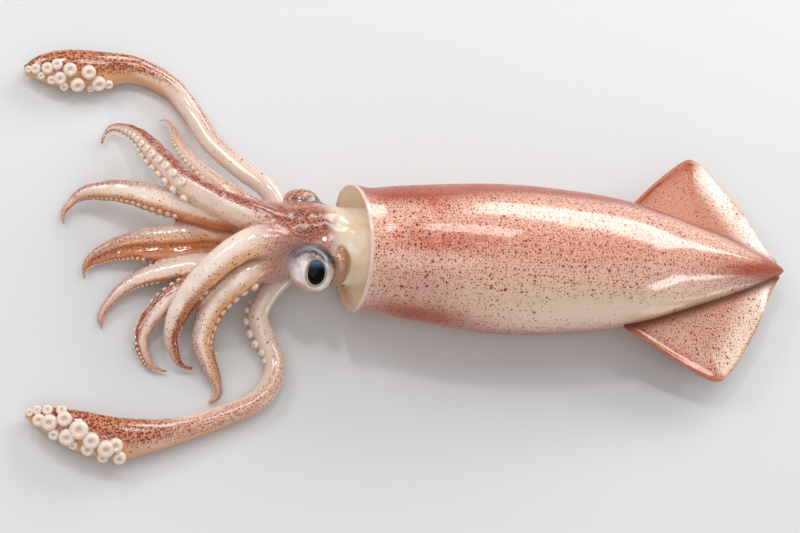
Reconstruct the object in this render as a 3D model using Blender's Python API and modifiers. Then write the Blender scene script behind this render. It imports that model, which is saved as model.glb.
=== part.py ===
"""A whole raw squid lying on its belly, ready to cook.

Metres, +Z up. The mantle runs along +X to its tail and the head and arms point along -X.
The squid's right side is +Y and its left side is -Y. The flat of the belly rests on Z = 0,
and the frame's origin is a point on it.
"""

from math import cos, pi, radians, sin

import bmesh
import bpy
import numpy as np
from mathutils import Matrix, Vector

MM = 0.001
GAP = 0.35 * MM  # between solids that touch on the real squid

# Mantle: length, section along its axis and how the axis lies
MANTLE_FRONT = -90 * MM
MANTLE_LENGTH = 200 * MM
MANTLE_RADII = (
    # share of the length from the collar, radius in mm
    (0.0, 24.4), (0.04, 23.9), (0.12, 26.1), (0.30, 29.2), (0.45, 28.3),
    (0.60, 24.9), (0.75, 16.8), (0.90, 7.2), (0.97, 2.6),
)
MANTLE_AXIS = (
    # x, y and z in mm
    (-90, 0, 26.5), (-30, -3.5, 27.6), (30, -3, 23.8), (60, -1.5, 20), (110, 0, 14),
)
COLLAR_LIP = 2.0 * MM  # thickness of the rolled edge
CAVITY_DEPTH = 28 * MM
CAVITY_FLOOR_RADIUS = 18 * MM
CAVITY_CORNER = 2 * MM
MANTLE_STEPS = 20
MANTLE_SIDES = 32

# Fins: a rounded rhombus split by the mantle, drooping a little towards the tips
FIN_THICKNESS = 1.8 * MM
FIN_TIP_SPAN = 50 * MM
FIN_END = 107 * MM
FIN_LEAST_CHORD = 0.8 * MM
FIN_DROOP = 1.6  # how much further the tip sinks than the flank it grows from
FIN_COLUMNS = 14
FIN_ROWS = 6
FINS = (
    # name, side (+1 is +Y), x of the front end and of the tip in mm, height of the tip in mm
    ("fin_right", 1, 38, 75, 15),
    ("fin_left", -1, 26, 69, 12),
)

# Head and neck: x, centre y and z, half width and half height, all in mm
HEAD_SECTIONS = (
    (-62.5, -1.5, 26.5, 14.0, 13.6),
    (-84, 0.0, 26.5, 15.4, 15.0),
    (-95, 1.0, 26.0, 16.0, 15.5),
    (-105, 2.5, 25.5, 18.0, 16.5),
    (-115, 2.5, 25.0, 17.6, 17.0),
    (-125.6, 2.0, 25.0, 16.8, 16.8),
)
HEAD_STEPS = 12
HEAD_SIDES = 24

# Eyes: x, y and z of the centre in mm, and the way the pupil looks
EYE_RADIUS = 8.5 * MM
ORBIT_RADIUS = 10.5 * MM
ORBIT_INSET = 3.0 * MM
BALL_SEGMENTS = 18
EYES = (
    ("eye_right", (-105.0, 15.5, 26.5), (0.05, 0.90, 0.43)),
    ("eye_left", (-106.0, -8.5, 25.5), (-0.13, -0.62, 0.77)),
)

# Funnel: a short flattened tube under the neck
FUNNEL_FRONT = -106 * MM
FUNNEL_BACK = -79 * MM
FUNNEL_WIDTHS = (8.0 * MM, 12.0 * MM)  # at the open front end, and at the back
FUNNEL_HEIGHTS = (6.0 * MM, 4.2 * MM)
FUNNEL_RISE = (5.2 * MM, 8.4 * MM)
FUNNEL_BORE = 4.0 * MM
FUNNEL_BORE_DEPTH = 6 * MM
FUNNEL_SIDES = 20

# Arms: a crown of eight round the mouth, each on a ring in front of the head
CROWN_X = -126 * MM
CROWN_CENTRE = (2.0 * MM, 25.0 * MM)
CROWN_RADIUS = 12.4 * MM
CROWN_LEAD = 2.5  # mm that every arm runs straight out of the crown
ARM_ROOT_RADIUS = 4.2 * MM
ARM_SWELL_SHARE = 0.28
ARM_TIP = 0.45 * MM
LIMB_RESOLUTION = 2
ARM_STEPS = 20
ARMS = {
    # name: (side, place in the crown from the back, full radius in mm, points of the route in mm)
    "arm_right_1": (1, 0, 5.4, (
        (-142, 14, 34), (-154, 25, 28.5), (-161, 40, 20), (-166, 54, 11), (-172, 60, 5), (-178, 54, 2.2))),
    "arm_left_1": (-1, 0, 5.8, (
        (-138, -5, 35), (-149, -12, 28), (-157, -20, 19), (-161, -30, 11), (-158, -38, 5),
        (-151, -41, 2.2))),
    "arm_right_2": (1, 1, 3.8, (
        (-136, 22, 27.5), (-143, 33, 21), (-148, 47, 12), (-149, 60, 6), (-154, 65, 2.2))),
    "arm_left_2": (-1, 1, 4.8, (
        (-135, -14, 28), (-144, -20, 19), (-149, -31, 11), (-146, -41, 6), (-142, -49, 3),
        (-146, -55, 1.6))),
    "arm_right_3": (1, 2, 5.6, (
        (-142, 15.5, 21), (-157, 22, 17), (-174, 29, 12), (-188, 30, 7), (-195, 25, 3.5), (-196, 19, 1.6))),
    "arm_left_3": (-1, 2, 4.7, (
        (-141, -8.5, 17.5), (-152, -12, 13.5), (-163, -18, 9), (-171, -29, 6), (-169, -38, 3),
        (-161, -42, 1.6))),
    "arm_right_4": (1, 3, 6.2, (
        (-141, 9.5, 11.5), (-158, 9, 9), (-174, 8, 7), (-186, 4, 4), (-190, -4, 1.6))),
    "arm_left_4": (-1, 3, 4.8, (
        (-141, -1.5, 10.5), (-158, -2.5, 7), (-173, -7, 5), (-183, -16, 3), (-185, -25, 1.6))),
}

# Tentacles: long stalks from the flanks of the head, ending in flattened clubs
STALK_RADIUS = 4.0 * MM
CLUB_RADIUS = 9.0 * MM
CLUB_FLATNESS = 0.58  # thickness over width
CLUB_FLATTENING = 0.08  # share of the length over which the round stalk turns flat
TENTACLE_TIP = 1.2 * MM
TENTACLE_STEPS = 40
SOCKET_LENGTH = 16 * MM
TENTACLES = {
    # name: (share of the length where the club begins, points of the route in mm)
    "tentacle_right": (0.66, (
        (-112, 14, 16), (-117, 28, 18), (-126, 39, 14), (-135, 53, 8.5), (-140, 67, 5.2), (-148, 79, 4.6),
        (-162, 86, 5.2), (-180, 84, 6.8), (-196, 85, 5.8), (-207, 85, 3))),
    "tentacle_left": (0.73, (
        (-113, -6, 14), (-120, -13, 12), (-124, -21, 8), (-121, -30, 5), (-118, -41, 4.2), (-126, -54, 4.4),
        (-144, -62, 4.4), (-164, -68, 5.2), (-184, -71, 6.4), (-204, -65, 5.6), (-219, -58, 3))),
}

# Suckers of the clubs, in rows across the side that is turned up
CLUB_SUCKER_RADIUS = 3.0 * MM
CLUB_SUCKER_HEIGHT = 2.4 * MM
CLUB_SUCKER_SIDES = 8
CLUB_SUCKER_COLUMNS = 5
CLUB_SUCKER_ROWS = 3
CLUB_SUCKER_LEAN = radians(-16)  # of the first row, from upright
CLUB_SUCKER_TURN = radians(40)  # from row to row


def clear_scene():
    for obj in list(bpy.data.objects):
        bpy.data.objects.remove(obj, do_unlink=True)


def new_collection(name, hidden=False):
    collection = bpy.data.collections.new(name)
    bpy.context.scene.collection.children.link(collection)
    collection.hide_render = hidden
    return collection


def material(name, colour, roughness):
    made = bpy.data.materials.new(name)
    made.use_nodes = True
    shader = made.node_tree.nodes["Principled BSDF"]
    shader.inputs["Base Color"].default_value = (*colour, 1)
    shader.inputs["Roughness"].default_value = roughness
    shader.inputs["Metallic"].default_value = 0
    made.diffuse_color = (*colour, 1)
    return made


def smooth_curve(guides, count):
    """Points at even spacing along a Catmull-Rom curve through the guide points."""
    guides = np.array(guides, float)
    padded = np.vstack([2 * guides[0] - guides[1], guides, 2 * guides[-1] - guides[-2]])
    fine = []
    for a, b, c, d in zip(padded, padded[1:], padded[2:], padded[3:]):
        for t in np.linspace(0, 1, 24, endpoint=False):
            fine.append(
                0.5 * (2 * b + (c - a) * t + (2 * a - 5 * b + 4 * c - d) * t**2
                       + (3 * b - a - 3 * c + d) * t**3)
            )
    fine = np.array(fine + [guides[-1]])
    along = np.concatenate([[0], np.cumsum(np.linalg.norm(np.diff(fine, axis=0), axis=1))])
    even = np.linspace(0, along[-1], count)
    return np.stack([np.interp(even, along, column) for column in fine.T], axis=1)


def at(table, value):
    """The row of a guide table at a value of its first column, read from a smooth curve."""
    curve = smooth_curve(table, 12 * len(table))
    order = np.argsort(curve[:, 0])
    return [float(np.interp(value, curve[order, 0], column[order])) for column in curve.T[1:]]


def mantle_radius(x):
    return at(MANTLE_RADII, (x - MANTLE_FRONT) / MANTLE_LENGTH)[0] * MM


def mantle_axis(x):
    y, z = at(MANTLE_AXIS, x / MM)
    return y * MM, z * MM


def add_object(name, data, surface, collection):
    obj = bpy.data.objects.new(name, data)
    collection.objects.link(obj)
    data.materials.append(surface)
    return obj


def as_mesh(obj):
    """Replaces a curve, or an object with modifiers, by its evaluated mesh with welded points."""
    graph = bpy.context.evaluated_depsgraph_get()
    mesh = bpy.data.meshes.new_from_object(obj.evaluated_get(graph))
    solid = bmesh.new()
    solid.from_mesh(mesh)
    bmesh.ops.remove_doubles(solid, verts=solid.verts, dist=0.01 * MM)
    bmesh.ops.recalc_face_normals(solid, faces=solid.faces)
    solid.to_mesh(mesh)
    solid.free()
    name, matrix, owner = obj.name, obj.matrix_world.copy(), obj.users_collection[0]
    bpy.data.objects.remove(obj, do_unlink=True)
    made = bpy.data.objects.new(name, mesh)
    made.matrix_world = matrix
    owner.objects.link(made)
    return made


def boolean(obj, other, operation):
    modifier = obj.modifiers.new(operation.lower(), "BOOLEAN")
    modifier.operation = operation
    modifier.solver = "EXACT"
    modifier.object = other


def shade(obj, angle=50):
    obj.data.shade_smooth()
    obj.data.set_sharp_from_angle(angle=radians(angle))


def ring_loft(rings):
    """A closed mesh through rings of points, with a fan over each end."""
    solid = bmesh.new()
    rows = [[solid.verts.new(point) for point in ring] for ring in rings]
    for row, nxt in zip(rows, rows[1:]):
        for i in range(len(row)):
            j = (i + 1) % len(row)
            solid.faces.new((row[i], row[j], nxt[j], nxt[i]))
    for row, ring in ((rows[0], rings[0]), (rows[-1], rings[-1])):
        middle = solid.verts.new(np.mean(ring, axis=0))
        for i in range(len(row)):
            solid.faces.new((row[i], row[(i + 1) % len(row)], middle))
    bmesh.ops.recalc_face_normals(solid, faces=solid.faces)
    mesh = bpy.data.meshes.new("loft")
    solid.to_mesh(mesh)
    solid.free()
    return mesh


def make_mantle(surface, collection):
    """A turned skin with a rolled collar, laid along its bent axis and flattened on the belly."""
    outer = [
        (MANTLE_FRONT + share * MANTLE_LENGTH, radius * MM)
        for share, radius in smooth_curve([*MANTLE_RADII, (1.0, 0.0)], MANTLE_STEPS)
    ]
    lip_radius = COLLAR_LIP / 2
    rim = MANTLE_RADII[0][1] * MM - lip_radius
    lip = [
        (MANTLE_FRONT - lip_radius * sin(angle), rim + lip_radius * cos(angle))
        for angle in (pi / 4, pi / 2, 3 * pi / 4)
    ]
    floor = MANTLE_FRONT + CAVITY_DEPTH
    cavity = [
        (MANTLE_FRONT, rim - lip_radius),
        (MANTLE_FRONT + CAVITY_DEPTH / 2, rim - 1.6 * lip_radius),
        (floor - CAVITY_CORNER, CAVITY_FLOOR_RADIUS),
        (floor, CAVITY_FLOOR_RADIUS - CAVITY_CORNER),
        (floor, 0),
    ]
    profile = [*reversed(outer), *lip, *cavity]
    mesh = bpy.data.meshes.new("mantle")
    mesh.from_pydata([(x, 0, r) for x, r in profile], [(i, i + 1) for i in range(len(profile) - 1)], [])
    obj = add_object("mantle", mesh, surface, collection)
    screw = obj.modifiers.new("turn", "SCREW")
    screw.axis = "X"
    screw.steps = screw.render_steps = MANTLE_SIDES
    screw.use_merge_vertices = True
    screw.merge_threshold = 0.00001
    obj = as_mesh(obj)
    for vertex in obj.data.vertices:
        y, z = mantle_axis(vertex.co.x)
        vertex.co.y += y
        vertex.co.z = max(vertex.co.z + z, 0)
    shade(obj)


def fin_outline(front, tip_x, side):
    """The free edge of a fin, from its front end round the tip to its end by the tail."""
    axis_y, _ = mantle_axis(front)
    flank = side * axis_y + mantle_radius(front)
    leading, trailing = tip_x - front, FIN_END - tip_x
    rise = FIN_TIP_SPAN - flank
    return smooth_curve(
        [
            (front, flank),
            (front + 0.45 * leading, flank + 0.52 * rise),
            (tip_x - 0.12 * leading, flank + 0.94 * rise),
            (tip_x + 0.03 * trailing, FIN_TIP_SPAN),
            (tip_x + 0.20 * trailing, 0.90 * FIN_TIP_SPAN),
            (tip_x + 0.55 * trailing, 0.58 * FIN_TIP_SPAN),
            (tip_x + 0.86 * trailing, 0.20 * FIN_TIP_SPAN),
            (FIN_END, mantle_radius(FIN_END) + 2 * FIN_LEAST_CHORD),
        ],
        FIN_COLUMNS + 1,
    )


def make_fin(name, side, front, tip_x, tip_height, surface, collection):
    """A grid between the mantle's flank and the fin's free edge, thickened."""
    front, tip_x, tip_height = front * MM, tip_x * MM, tip_height * MM
    edge = fin_outline(front, tip_x, side)
    grid = bmesh.new()
    bmesh.ops.create_grid(
        grid, x_segments=FIN_COLUMNS, y_segments=FIN_ROWS, size=0.5,
        matrix=Matrix.Translation((0.5, 0.5, 0)),
    )
    for vertex in grid.verts:
        column, out = round(vertex.co.x * FIN_COLUMNS), vertex.co.y
        root_x = front + (FIN_END - front) * column / FIN_COLUMNS
        axis_y, root_z = mantle_axis(root_x)
        root_y = side * axis_y + mantle_radius(root_x) + GAP
        edge_x, edge_y = edge[column]
        span = out * max(edge_y - root_y, FIN_LEAST_CHORD)
        droop = (tip_height - root_z) * FIN_DROOP * (span / FIN_TIP_SPAN) ** 1.4
        vertex.co = (root_x + (edge_x - root_x) * out, side * (root_y + span), root_z + droop)
    bmesh.ops.recalc_face_normals(grid, faces=grid.faces)
    mesh = bpy.data.meshes.new(name)
    grid.to_mesh(mesh)
    grid.free()
    obj = add_object(name, mesh, surface, collection)
    solidify = obj.modifiers.new("thickness", "SOLIDIFY")
    solidify.thickness = FIN_THICKNESS
    solidify.offset = 0
    shade(obj)


def make_ball(name, centre, radius, surface, collection, looks):
    """A sphere whose pole lies the way it looks."""
    ball = bmesh.new()
    turn = Vector((0, 0, 1)).rotation_difference(Vector(looks)).to_matrix().to_4x4()
    bmesh.ops.create_uvsphere(
        ball, u_segments=BALL_SEGMENTS, v_segments=BALL_SEGMENTS // 2, radius=radius,
        matrix=Matrix.Translation(centre) @ turn,
    )
    mesh = bpy.data.meshes.new(name)
    ball.to_mesh(mesh)
    ball.free()
    obj = add_object(name, mesh, surface, collection)
    shade(obj)
    return obj


def make_plug(name, centre, outward, radius, length, surface, collection, sides, end_radius=None):
    """A cylinder, or a cone with its own end radius, along a direction."""
    plug = bmesh.new()
    turn = Vector((0, 0, 1)).rotation_difference(outward).to_matrix().to_4x4()
    bmesh.ops.create_cone(
        plug, cap_ends=True, segments=sides, radius1=radius, radius2=end_radius or radius, depth=length,
        matrix=Matrix.Translation(centre) @ turn,
    )
    mesh = bpy.data.meshes.new(name)
    plug.to_mesh(mesh)
    plug.free()
    return add_object(name, mesh, surface, collection)


def make_head(surface, collection, cutters):
    """Neck and head in one loft, swollen round the eyes, with sockets for eyes and tentacles."""
    rings = []
    for x, y, z, width, height in smooth_curve(HEAD_SECTIONS, HEAD_STEPS) * MM:
        turns = [2 * pi * i / HEAD_SIDES for i in range(HEAD_SIDES)]
        rings.append([(x, y + width * cos(turn), z + height * sin(turn)) for turn in turns])
    head = add_object("head", ring_loft(rings), surface, collection)
    for name, place, looks in EYES:
        inner = Vector(place) * MM - Vector(looks).normalized() * ORBIT_INSET
        orbit = make_ball(f"{name}_orbit", inner, ORBIT_RADIUS, surface, cutters, looks)
        boolean(head, orbit, "UNION")
    for name, place, looks in EYES:
        radius = EYE_RADIUS + GAP
        socket = make_ball(f"{name}_socket", Vector(place) * MM, radius, surface, cutters, looks)
        boolean(head, socket, "DIFFERENCE")
    for name, (_, guides) in TENTACLES.items():
        root, ahead = (Vector(point) for point in smooth_curve(guides, TENTACLE_STEPS)[:2] * MM)
        outward = (ahead - root).normalized()
        boolean(head, make_plug(
            f"{name}_socket", root + outward * (SOCKET_LENGTH / 2 - GAP), outward,
            stalk_radius(0) + 2 * GAP, SOCKET_LENGTH, surface, cutters, 24,
        ), "DIFFERENCE")
    shade(head)


def tube(name, route, radii, surface, collection):
    """A round limb along a route, with its own radius at each point and closed ends."""
    curve = bpy.data.curves.new(name, "CURVE")
    curve.dimensions = "3D"
    curve.bevel_depth = 1
    curve.bevel_resolution = LIMB_RESOLUTION
    curve.use_fill_caps = True
    spline = curve.splines.new("POLY")
    spline.points.add(len(route) - 1)
    for point, place, radius in zip(spline.points, route, radii):
        point.co = (*place, 1)
        point.radius = radius
    return add_object(name, curve, surface, collection)


def arm_radius(share, full):
    """Narrow where it leaves the crown, full a little way out, then tapering to a fine tip."""
    swell = min(share / ARM_SWELL_SHARE, 1)
    swell = swell * swell * (3 - 2 * swell)
    root = min(ARM_ROOT_RADIUS, full * MM)
    thickest = root + (full * MM - root) * swell
    return thickest * (1 - share**2) + ARM_TIP * share


def arm_route(side, place, guides):
    """From its place on the crown's ring, a short way straight out, then through the guide points."""
    angle = radians(22.5 + 45 * place)
    root_y = CROWN_CENTRE[0] / MM + side * CROWN_RADIUS / MM * sin(angle)
    root_z = CROWN_CENTRE[1] / MM + CROWN_RADIUS / MM * cos(angle)
    root_x = CROWN_X / MM
    root, lead = (root_x, root_y, root_z), (root_x - CROWN_LEAD, root_y, root_z)
    return np.vstack([root, smooth_curve([lead, *guides], ARM_STEPS)]) * MM


def make_arms(surface, collection):
    for name, (side, place, full, guides) in ARMS.items():
        route = arm_route(side, place, guides)
        shares = np.linspace(0, 1, len(route))
        tube(name, route, [arm_radius(share, full) for share in shares], surface, collection)


def stalk_radius(share):
    """A little thinner where it leaves the head."""
    return STALK_RADIUS * (0.9 + 0.1 * min(share / 0.1, 1))


def tentacle_radius(share, club_start):
    """An even stalk that opens into a leaf-shaped club."""
    if share < club_start:
        return stalk_radius(share)
    club = (share - club_start) / (1 - club_start)
    stalk = STALK_RADIUS * (1 - club**2)
    leaf = (CLUB_RADIUS - 0.4 * STALK_RADIUS) * sin(pi * club**0.85) ** 1.2
    return max(stalk + leaf, TENTACLE_TIP)


def flatten_club(limb, route, club_start):
    """Presses the club towards its own middle line."""
    for vertex in limb.data.vertices:
        nearest = int(np.argmin(np.linalg.norm(route - np.array(vertex.co), axis=1)))
        depth = np.clip((nearest / (len(route) - 1) - club_start) / CLUB_FLATTENING, 0, 1)
        middle = route[nearest][2]
        vertex.co.z = middle + (vertex.co.z - middle) * (1 - (1 - CLUB_FLATNESS) * depth)


def club_suckers(name, route, club_start, surface, cutters):
    """Rows of short cups over the side of the club that is turned up and towards -Y."""
    up = Vector((0, 0, 1))
    cups = []
    for column in range(CLUB_SUCKER_COLUMNS):
        for row in range(CLUB_SUCKER_ROWS):
            club = 0.18 + 0.66 * (column + 0.35 * (row % 2)) / CLUB_SUCKER_COLUMNS
            share = club_start + club * (1 - club_start)
            step = share * (len(route) - 1)
            centre, ahead = (
                Vector([np.interp(place, range(len(route)), axis) for axis in route.T])
                for place in (step, step + 1)
            )
            across = up.cross(ahead - centre).normalized()
            half = tentacle_radius(share, club_start)
            lean = CLUB_SUCKER_LEAN + row * CLUB_SUCKER_TURN
            foot = centre + across * half * sin(lean) + up * half * CLUB_FLATNESS * cos(lean)
            radius = CLUB_SUCKER_RADIUS * min(1, 0.45 + 0.55 * half / CLUB_RADIUS)
            cups.append(make_plug(
                f"{name}_sucker_{column}_{row}", foot, up * cos(lean) + across * sin(lean), 0.8 * radius,
                CLUB_SUCKER_HEIGHT, surface, cutters, CLUB_SUCKER_SIDES, radius,
            ))
    return cups


def make_tentacles(surface, collection, cutters):
    for name, (club_start, guides) in TENTACLES.items():
        route = smooth_curve(guides, TENTACLE_STEPS) * MM
        radii = [tentacle_radius(share, club_start) for share in np.linspace(0, 1, len(route))]
        limb = as_mesh(tube(name, route, radii, surface, collection))
        flatten_club(limb, route, club_start)
        for cup in club_suckers(name, route, club_start, surface, cutters):
            boolean(limb, cup, "UNION")
        shade(limb)


def make_funnel(surface, collection, cutters):
    """A flattened tube from inside the collar to its open end under the head."""
    rings = []
    for x in np.linspace(FUNNEL_FRONT, FUNNEL_BACK, 6):
        share = (x - FUNNEL_FRONT) / (FUNNEL_BACK - FUNNEL_FRONT)
        width, height, rise = (
            a + (b - a) * share for a, b in (FUNNEL_WIDTHS, FUNNEL_HEIGHTS, FUNNEL_RISE)
        )
        turns = [2 * pi * i / FUNNEL_SIDES for i in range(FUNNEL_SIDES)]
        rings.append([(x, width / 2 * cos(turn), rise + height / 2 * sin(turn)) for turn in turns])
    funnel = add_object("funnel", ring_loft(rings), surface, collection)
    bore = make_plug(
        "funnel_bore", Vector((FUNNEL_FRONT, 0, FUNNEL_RISE[0])), Vector((1, 0, 0)), FUNNEL_BORE / 2,
        2 * FUNNEL_BORE_DEPTH, surface, cutters, FUNNEL_SIDES,
    )
    boolean(funnel, bore, "DIFFERENCE")
    shade(funnel)


def main():
    clear_scene()
    squid = new_collection("squid")
    cutters = new_collection("cutters", hidden=True)
    mantle_skin = material("mantle_skin", (0.62, 0.33, 0.25), 0.3)
    fin_skin = material("fin_skin", (0.66, 0.36, 0.26), 0.3)
    head_skin = material("head_skin", (0.66, 0.42, 0.36), 0.3)
    arm_skin = material("arm_skin", (0.74, 0.46, 0.34), 0.3)
    tentacle_skin = material("tentacle_skin", (0.78, 0.52, 0.38), 0.3)
    funnel_skin = material("funnel_skin", (0.80, 0.62, 0.48), 0.3)
    eyeball = material("eyeball", (0.05, 0.06, 0.07), 0.1)
    make_mantle(mantle_skin, squid)
    for name, side, front, tip_x, tip_height in FINS:
        make_fin(name, side, front, tip_x, tip_height, fin_skin, squid)
    make_head(head_skin, squid, cutters)
    for name, place, looks in EYES:
        make_ball(name, Vector(place) * MM, EYE_RADIUS, eyeball, squid, looks)
    make_arms(arm_skin, squid)
    make_tentacles(tentacle_skin, squid, cutters)
    make_funnel(funnel_skin, squid, cutters)
    for helper in cutters.objects:
        helper.hide_render = True
        helper.display_type = "WIRE"


main()
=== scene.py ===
# %% [markdown]
# # A whole raw squid
# A squid is three soft parts in a row. The mantle is a muscular sleeve with two fins at its tail.
# The head sits in the mouth of that sleeve on a narrow neck. A crown of eight arms and two long
# tentacles grows from the head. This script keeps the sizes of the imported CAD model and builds
# the visible skin, eyes and suckers around it, in metres, with the tail along +X.

from math import cos, pi, radians, sin

import bpy
import numpy as np
from mathutils import Matrix, Vector
from mathutils.bvhtree import BVHTree


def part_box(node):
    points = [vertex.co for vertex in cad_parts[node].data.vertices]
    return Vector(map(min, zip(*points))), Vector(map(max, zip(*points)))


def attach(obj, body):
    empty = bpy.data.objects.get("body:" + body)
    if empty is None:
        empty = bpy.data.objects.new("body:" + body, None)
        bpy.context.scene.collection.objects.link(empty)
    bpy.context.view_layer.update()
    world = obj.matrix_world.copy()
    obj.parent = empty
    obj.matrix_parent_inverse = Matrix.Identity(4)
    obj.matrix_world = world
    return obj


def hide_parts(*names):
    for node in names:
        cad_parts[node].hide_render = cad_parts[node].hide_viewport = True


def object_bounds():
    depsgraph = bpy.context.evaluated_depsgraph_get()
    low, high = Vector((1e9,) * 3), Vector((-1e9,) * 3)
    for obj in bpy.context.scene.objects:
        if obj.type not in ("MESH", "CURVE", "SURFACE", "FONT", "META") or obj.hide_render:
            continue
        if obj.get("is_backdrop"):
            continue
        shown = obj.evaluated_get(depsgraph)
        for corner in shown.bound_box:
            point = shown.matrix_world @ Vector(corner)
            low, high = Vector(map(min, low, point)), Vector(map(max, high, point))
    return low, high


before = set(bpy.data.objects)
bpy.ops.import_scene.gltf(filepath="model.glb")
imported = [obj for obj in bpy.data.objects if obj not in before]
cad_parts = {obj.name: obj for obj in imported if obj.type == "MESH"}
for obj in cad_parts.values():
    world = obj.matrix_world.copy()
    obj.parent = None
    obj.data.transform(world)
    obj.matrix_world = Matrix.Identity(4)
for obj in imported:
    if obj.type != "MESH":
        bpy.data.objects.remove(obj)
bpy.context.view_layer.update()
MM = 0.001
ABOVE_TABLE = 0.05 * MM  # the lowest that any flesh lies
print("solids in the packed model:", len(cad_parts))

# %% [markdown]
# The camera stands high on the squid's left, ahead of its head, and looks down at about 58
# degrees. A long lens keeps the far tentacle and the near one at almost the same scale.

# %% Camera
CAMERA_PLACE = Vector((-455.6, -404.9, 910.2)) * MM
CAMERA_BACK = Vector((-0.37, -0.3812, 0.8472)).normalized()
CAMERA_UP = Vector((-0.0191, 0.9149, 0.4033))
bpy.ops.object.camera_add(location=CAMERA_PLACE)
camera = bpy.context.object
camera.name = "camera"
camera_right = CAMERA_UP.cross(CAMERA_BACK).normalized()
camera_up = CAMERA_BACK.cross(camera_right)
turn = Matrix((camera_right, camera_up, CAMERA_BACK)).transposed()
camera.matrix_world = Matrix.Translation(CAMERA_PLACE) @ turn.to_4x4()
camera.data.lens = 120
camera.data.sensor_width = 36
camera.data.clip_start, camera.data.clip_end = 0.05, 20
bpy.context.scene.camera = camera
print("camera distance, m:", round(CAMERA_PLACE.length, 3))

# %% [markdown]
# Wet skin shows its shape through its highlights. A wide softbox low behind the squid lays a
# broad streak along its back. A small one overhead adds a fainter band nearer the viewer, a low
# one past the tail gives the spot on the near flank, and one behind the arms draws the thin
# bright lines along them. A broad dim panel in front softens the shadows, and a tiny bright one
# gives the sparkles on the crown. The pale surroundings fill in everything else.

# %% Floor and lights
FLOOR_SIZE = 6.0
bpy.ops.mesh.primitive_plane_add(size=FLOOR_SIZE)
floor = bpy.context.object
floor.name = "floor"
floor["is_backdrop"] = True

AIM = Vector((0.01, 0.0, 0.03))
LIGHTS = (
    # name, degrees round from +X, degrees up, roll in degrees, distance, width and height in
    # metres, brightness
    ("back_softbox", 43, 29, 14, 0.9, 0.94, 0.42, 4.6),
    ("overhead_softbox", 60, 71, 0, 0.9, 0.30, 0.22, 4.2),
    ("low_softbox", -27, 7, 0, 0.9, 0.30, 0.16, 5.0),
    ("arm_softbox", 150, 36, 0, 0.9, 0.50, 0.24, 5.0),
    ("front_fill", 225, 52, 0, 1.2, 1.40, 1.00, 0.95),
    ("sparkle", 128, 62, 0, 0.9, 0.07, 0.07, 60.0),
)
for name, around, up, roll, distance, width, height, brightness in LIGHTS:
    around, up = radians(around), radians(up)
    back = Vector((cos(around) * cos(up), sin(around) * cos(up), sin(up)))
    across = Matrix.Rotation(radians(roll), 3, back) @ Vector((0, 0, 1)).cross(back).normalized()
    bpy.ops.object.light_add(type="AREA")
    lamp = bpy.context.object
    lamp.name = name
    lamp.data.shape = "RECTANGLE"
    lamp.data.size, lamp.data.size_y = width, height
    lamp.data.energy = pi * width * height * brightness
    turn = Matrix((across, back.cross(across), back)).transposed()
    lamp.matrix_world = Matrix.Translation(AIM + back * distance) @ turn.to_4x4()

WORLD_STRENGTH = 0.40
world = bpy.data.worlds.new("pale_room")
bpy.context.scene.world = world
world.use_nodes = True
world.node_tree.nodes["Background"].inputs["Color"].default_value = (0.96, 0.98, 1, 1)
world.node_tree.nodes["Background"].inputs["Strength"].default_value = WORLD_STRENGTH
bpy.context.scene.view_settings.view_transform = "Standard"
print("lights:", [name for name, *_ in LIGHTS])

# %% [markdown]
# Everything below is shaped the way a hand would do it: select nothing, add a primitive, go
# into edit mode, extrude and resize. These helpers keep that tidy. `smooth_line` turns a few
# guide points into an even, smooth line, and any extra column, such as a radius, follows along.

# %% Helpers
def select_nothing():
    if bpy.context.object and bpy.context.object.mode != "OBJECT":
        bpy.ops.object.mode_set(mode="OBJECT")
    bpy.ops.object.select_all(action="DESELECT")


def select_only(obj):
    select_nothing()
    obj.select_set(True)
    bpy.context.view_layer.objects.active = obj


CURVE_STEPS = 24  # straight pieces between two guide points


def smooth_line(guides, count):
    """Points at even steps on a Catmull-Rom curve through the guides."""
    guides = np.array(guides, float)
    padded = np.vstack([2 * guides[0] - guides[1], guides, 2 * guides[-1] - guides[-2]])
    fine = []
    for a, b, c, d in zip(padded, padded[1:], padded[2:], padded[3:]):
        for t in np.linspace(0, 1, CURVE_STEPS, endpoint=False):
            fine.append(0.5 * (2 * b + (c - a) * t + (2 * a - 5 * b + 4 * c - d) * t**2
                               + (3 * b - a - 3 * c + d) * t**3))
    fine = np.array(fine + [guides[-1]])
    steps = np.linalg.norm(np.diff(fine[:, :3], axis=0), axis=1)
    along = np.concatenate([[0], np.cumsum(steps)])
    even = np.linspace(0, along[-1], count)
    return np.stack([np.interp(even, along, column) for column in fine.T], axis=1)


def table_at(table, value):
    """The other columns of a guide table where its first column has this value."""
    curve = smooth_line(table, 16 * len(table))
    order = np.argsort(curve[:, 0])
    return [np.interp(value, curve[order, 0], column[order]) for column in curve.T[1:]]


def new_piece(name):
    """Names what the last operator added, and makes its place part of its mesh."""
    made = bpy.context.object
    made.name = made.data.name = name
    bpy.ops.object.transform_apply(location=True, rotation=True, scale=True)
    return made


def edit_all():
    bpy.ops.object.mode_set(mode="EDIT")
    bpy.ops.mesh.select_all(action="SELECT")


def close_mesh(merge=0.0):
    """Merges points nearer than merge, turns every face outwards and leaves edit mode."""
    bpy.ops.mesh.select_all(action="SELECT")
    if merge:
        bpy.ops.mesh.remove_doubles(threshold=merge)
    bpy.ops.mesh.normals_make_consistent(inside=False)
    bpy.ops.object.mode_set(mode="OBJECT")


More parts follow.
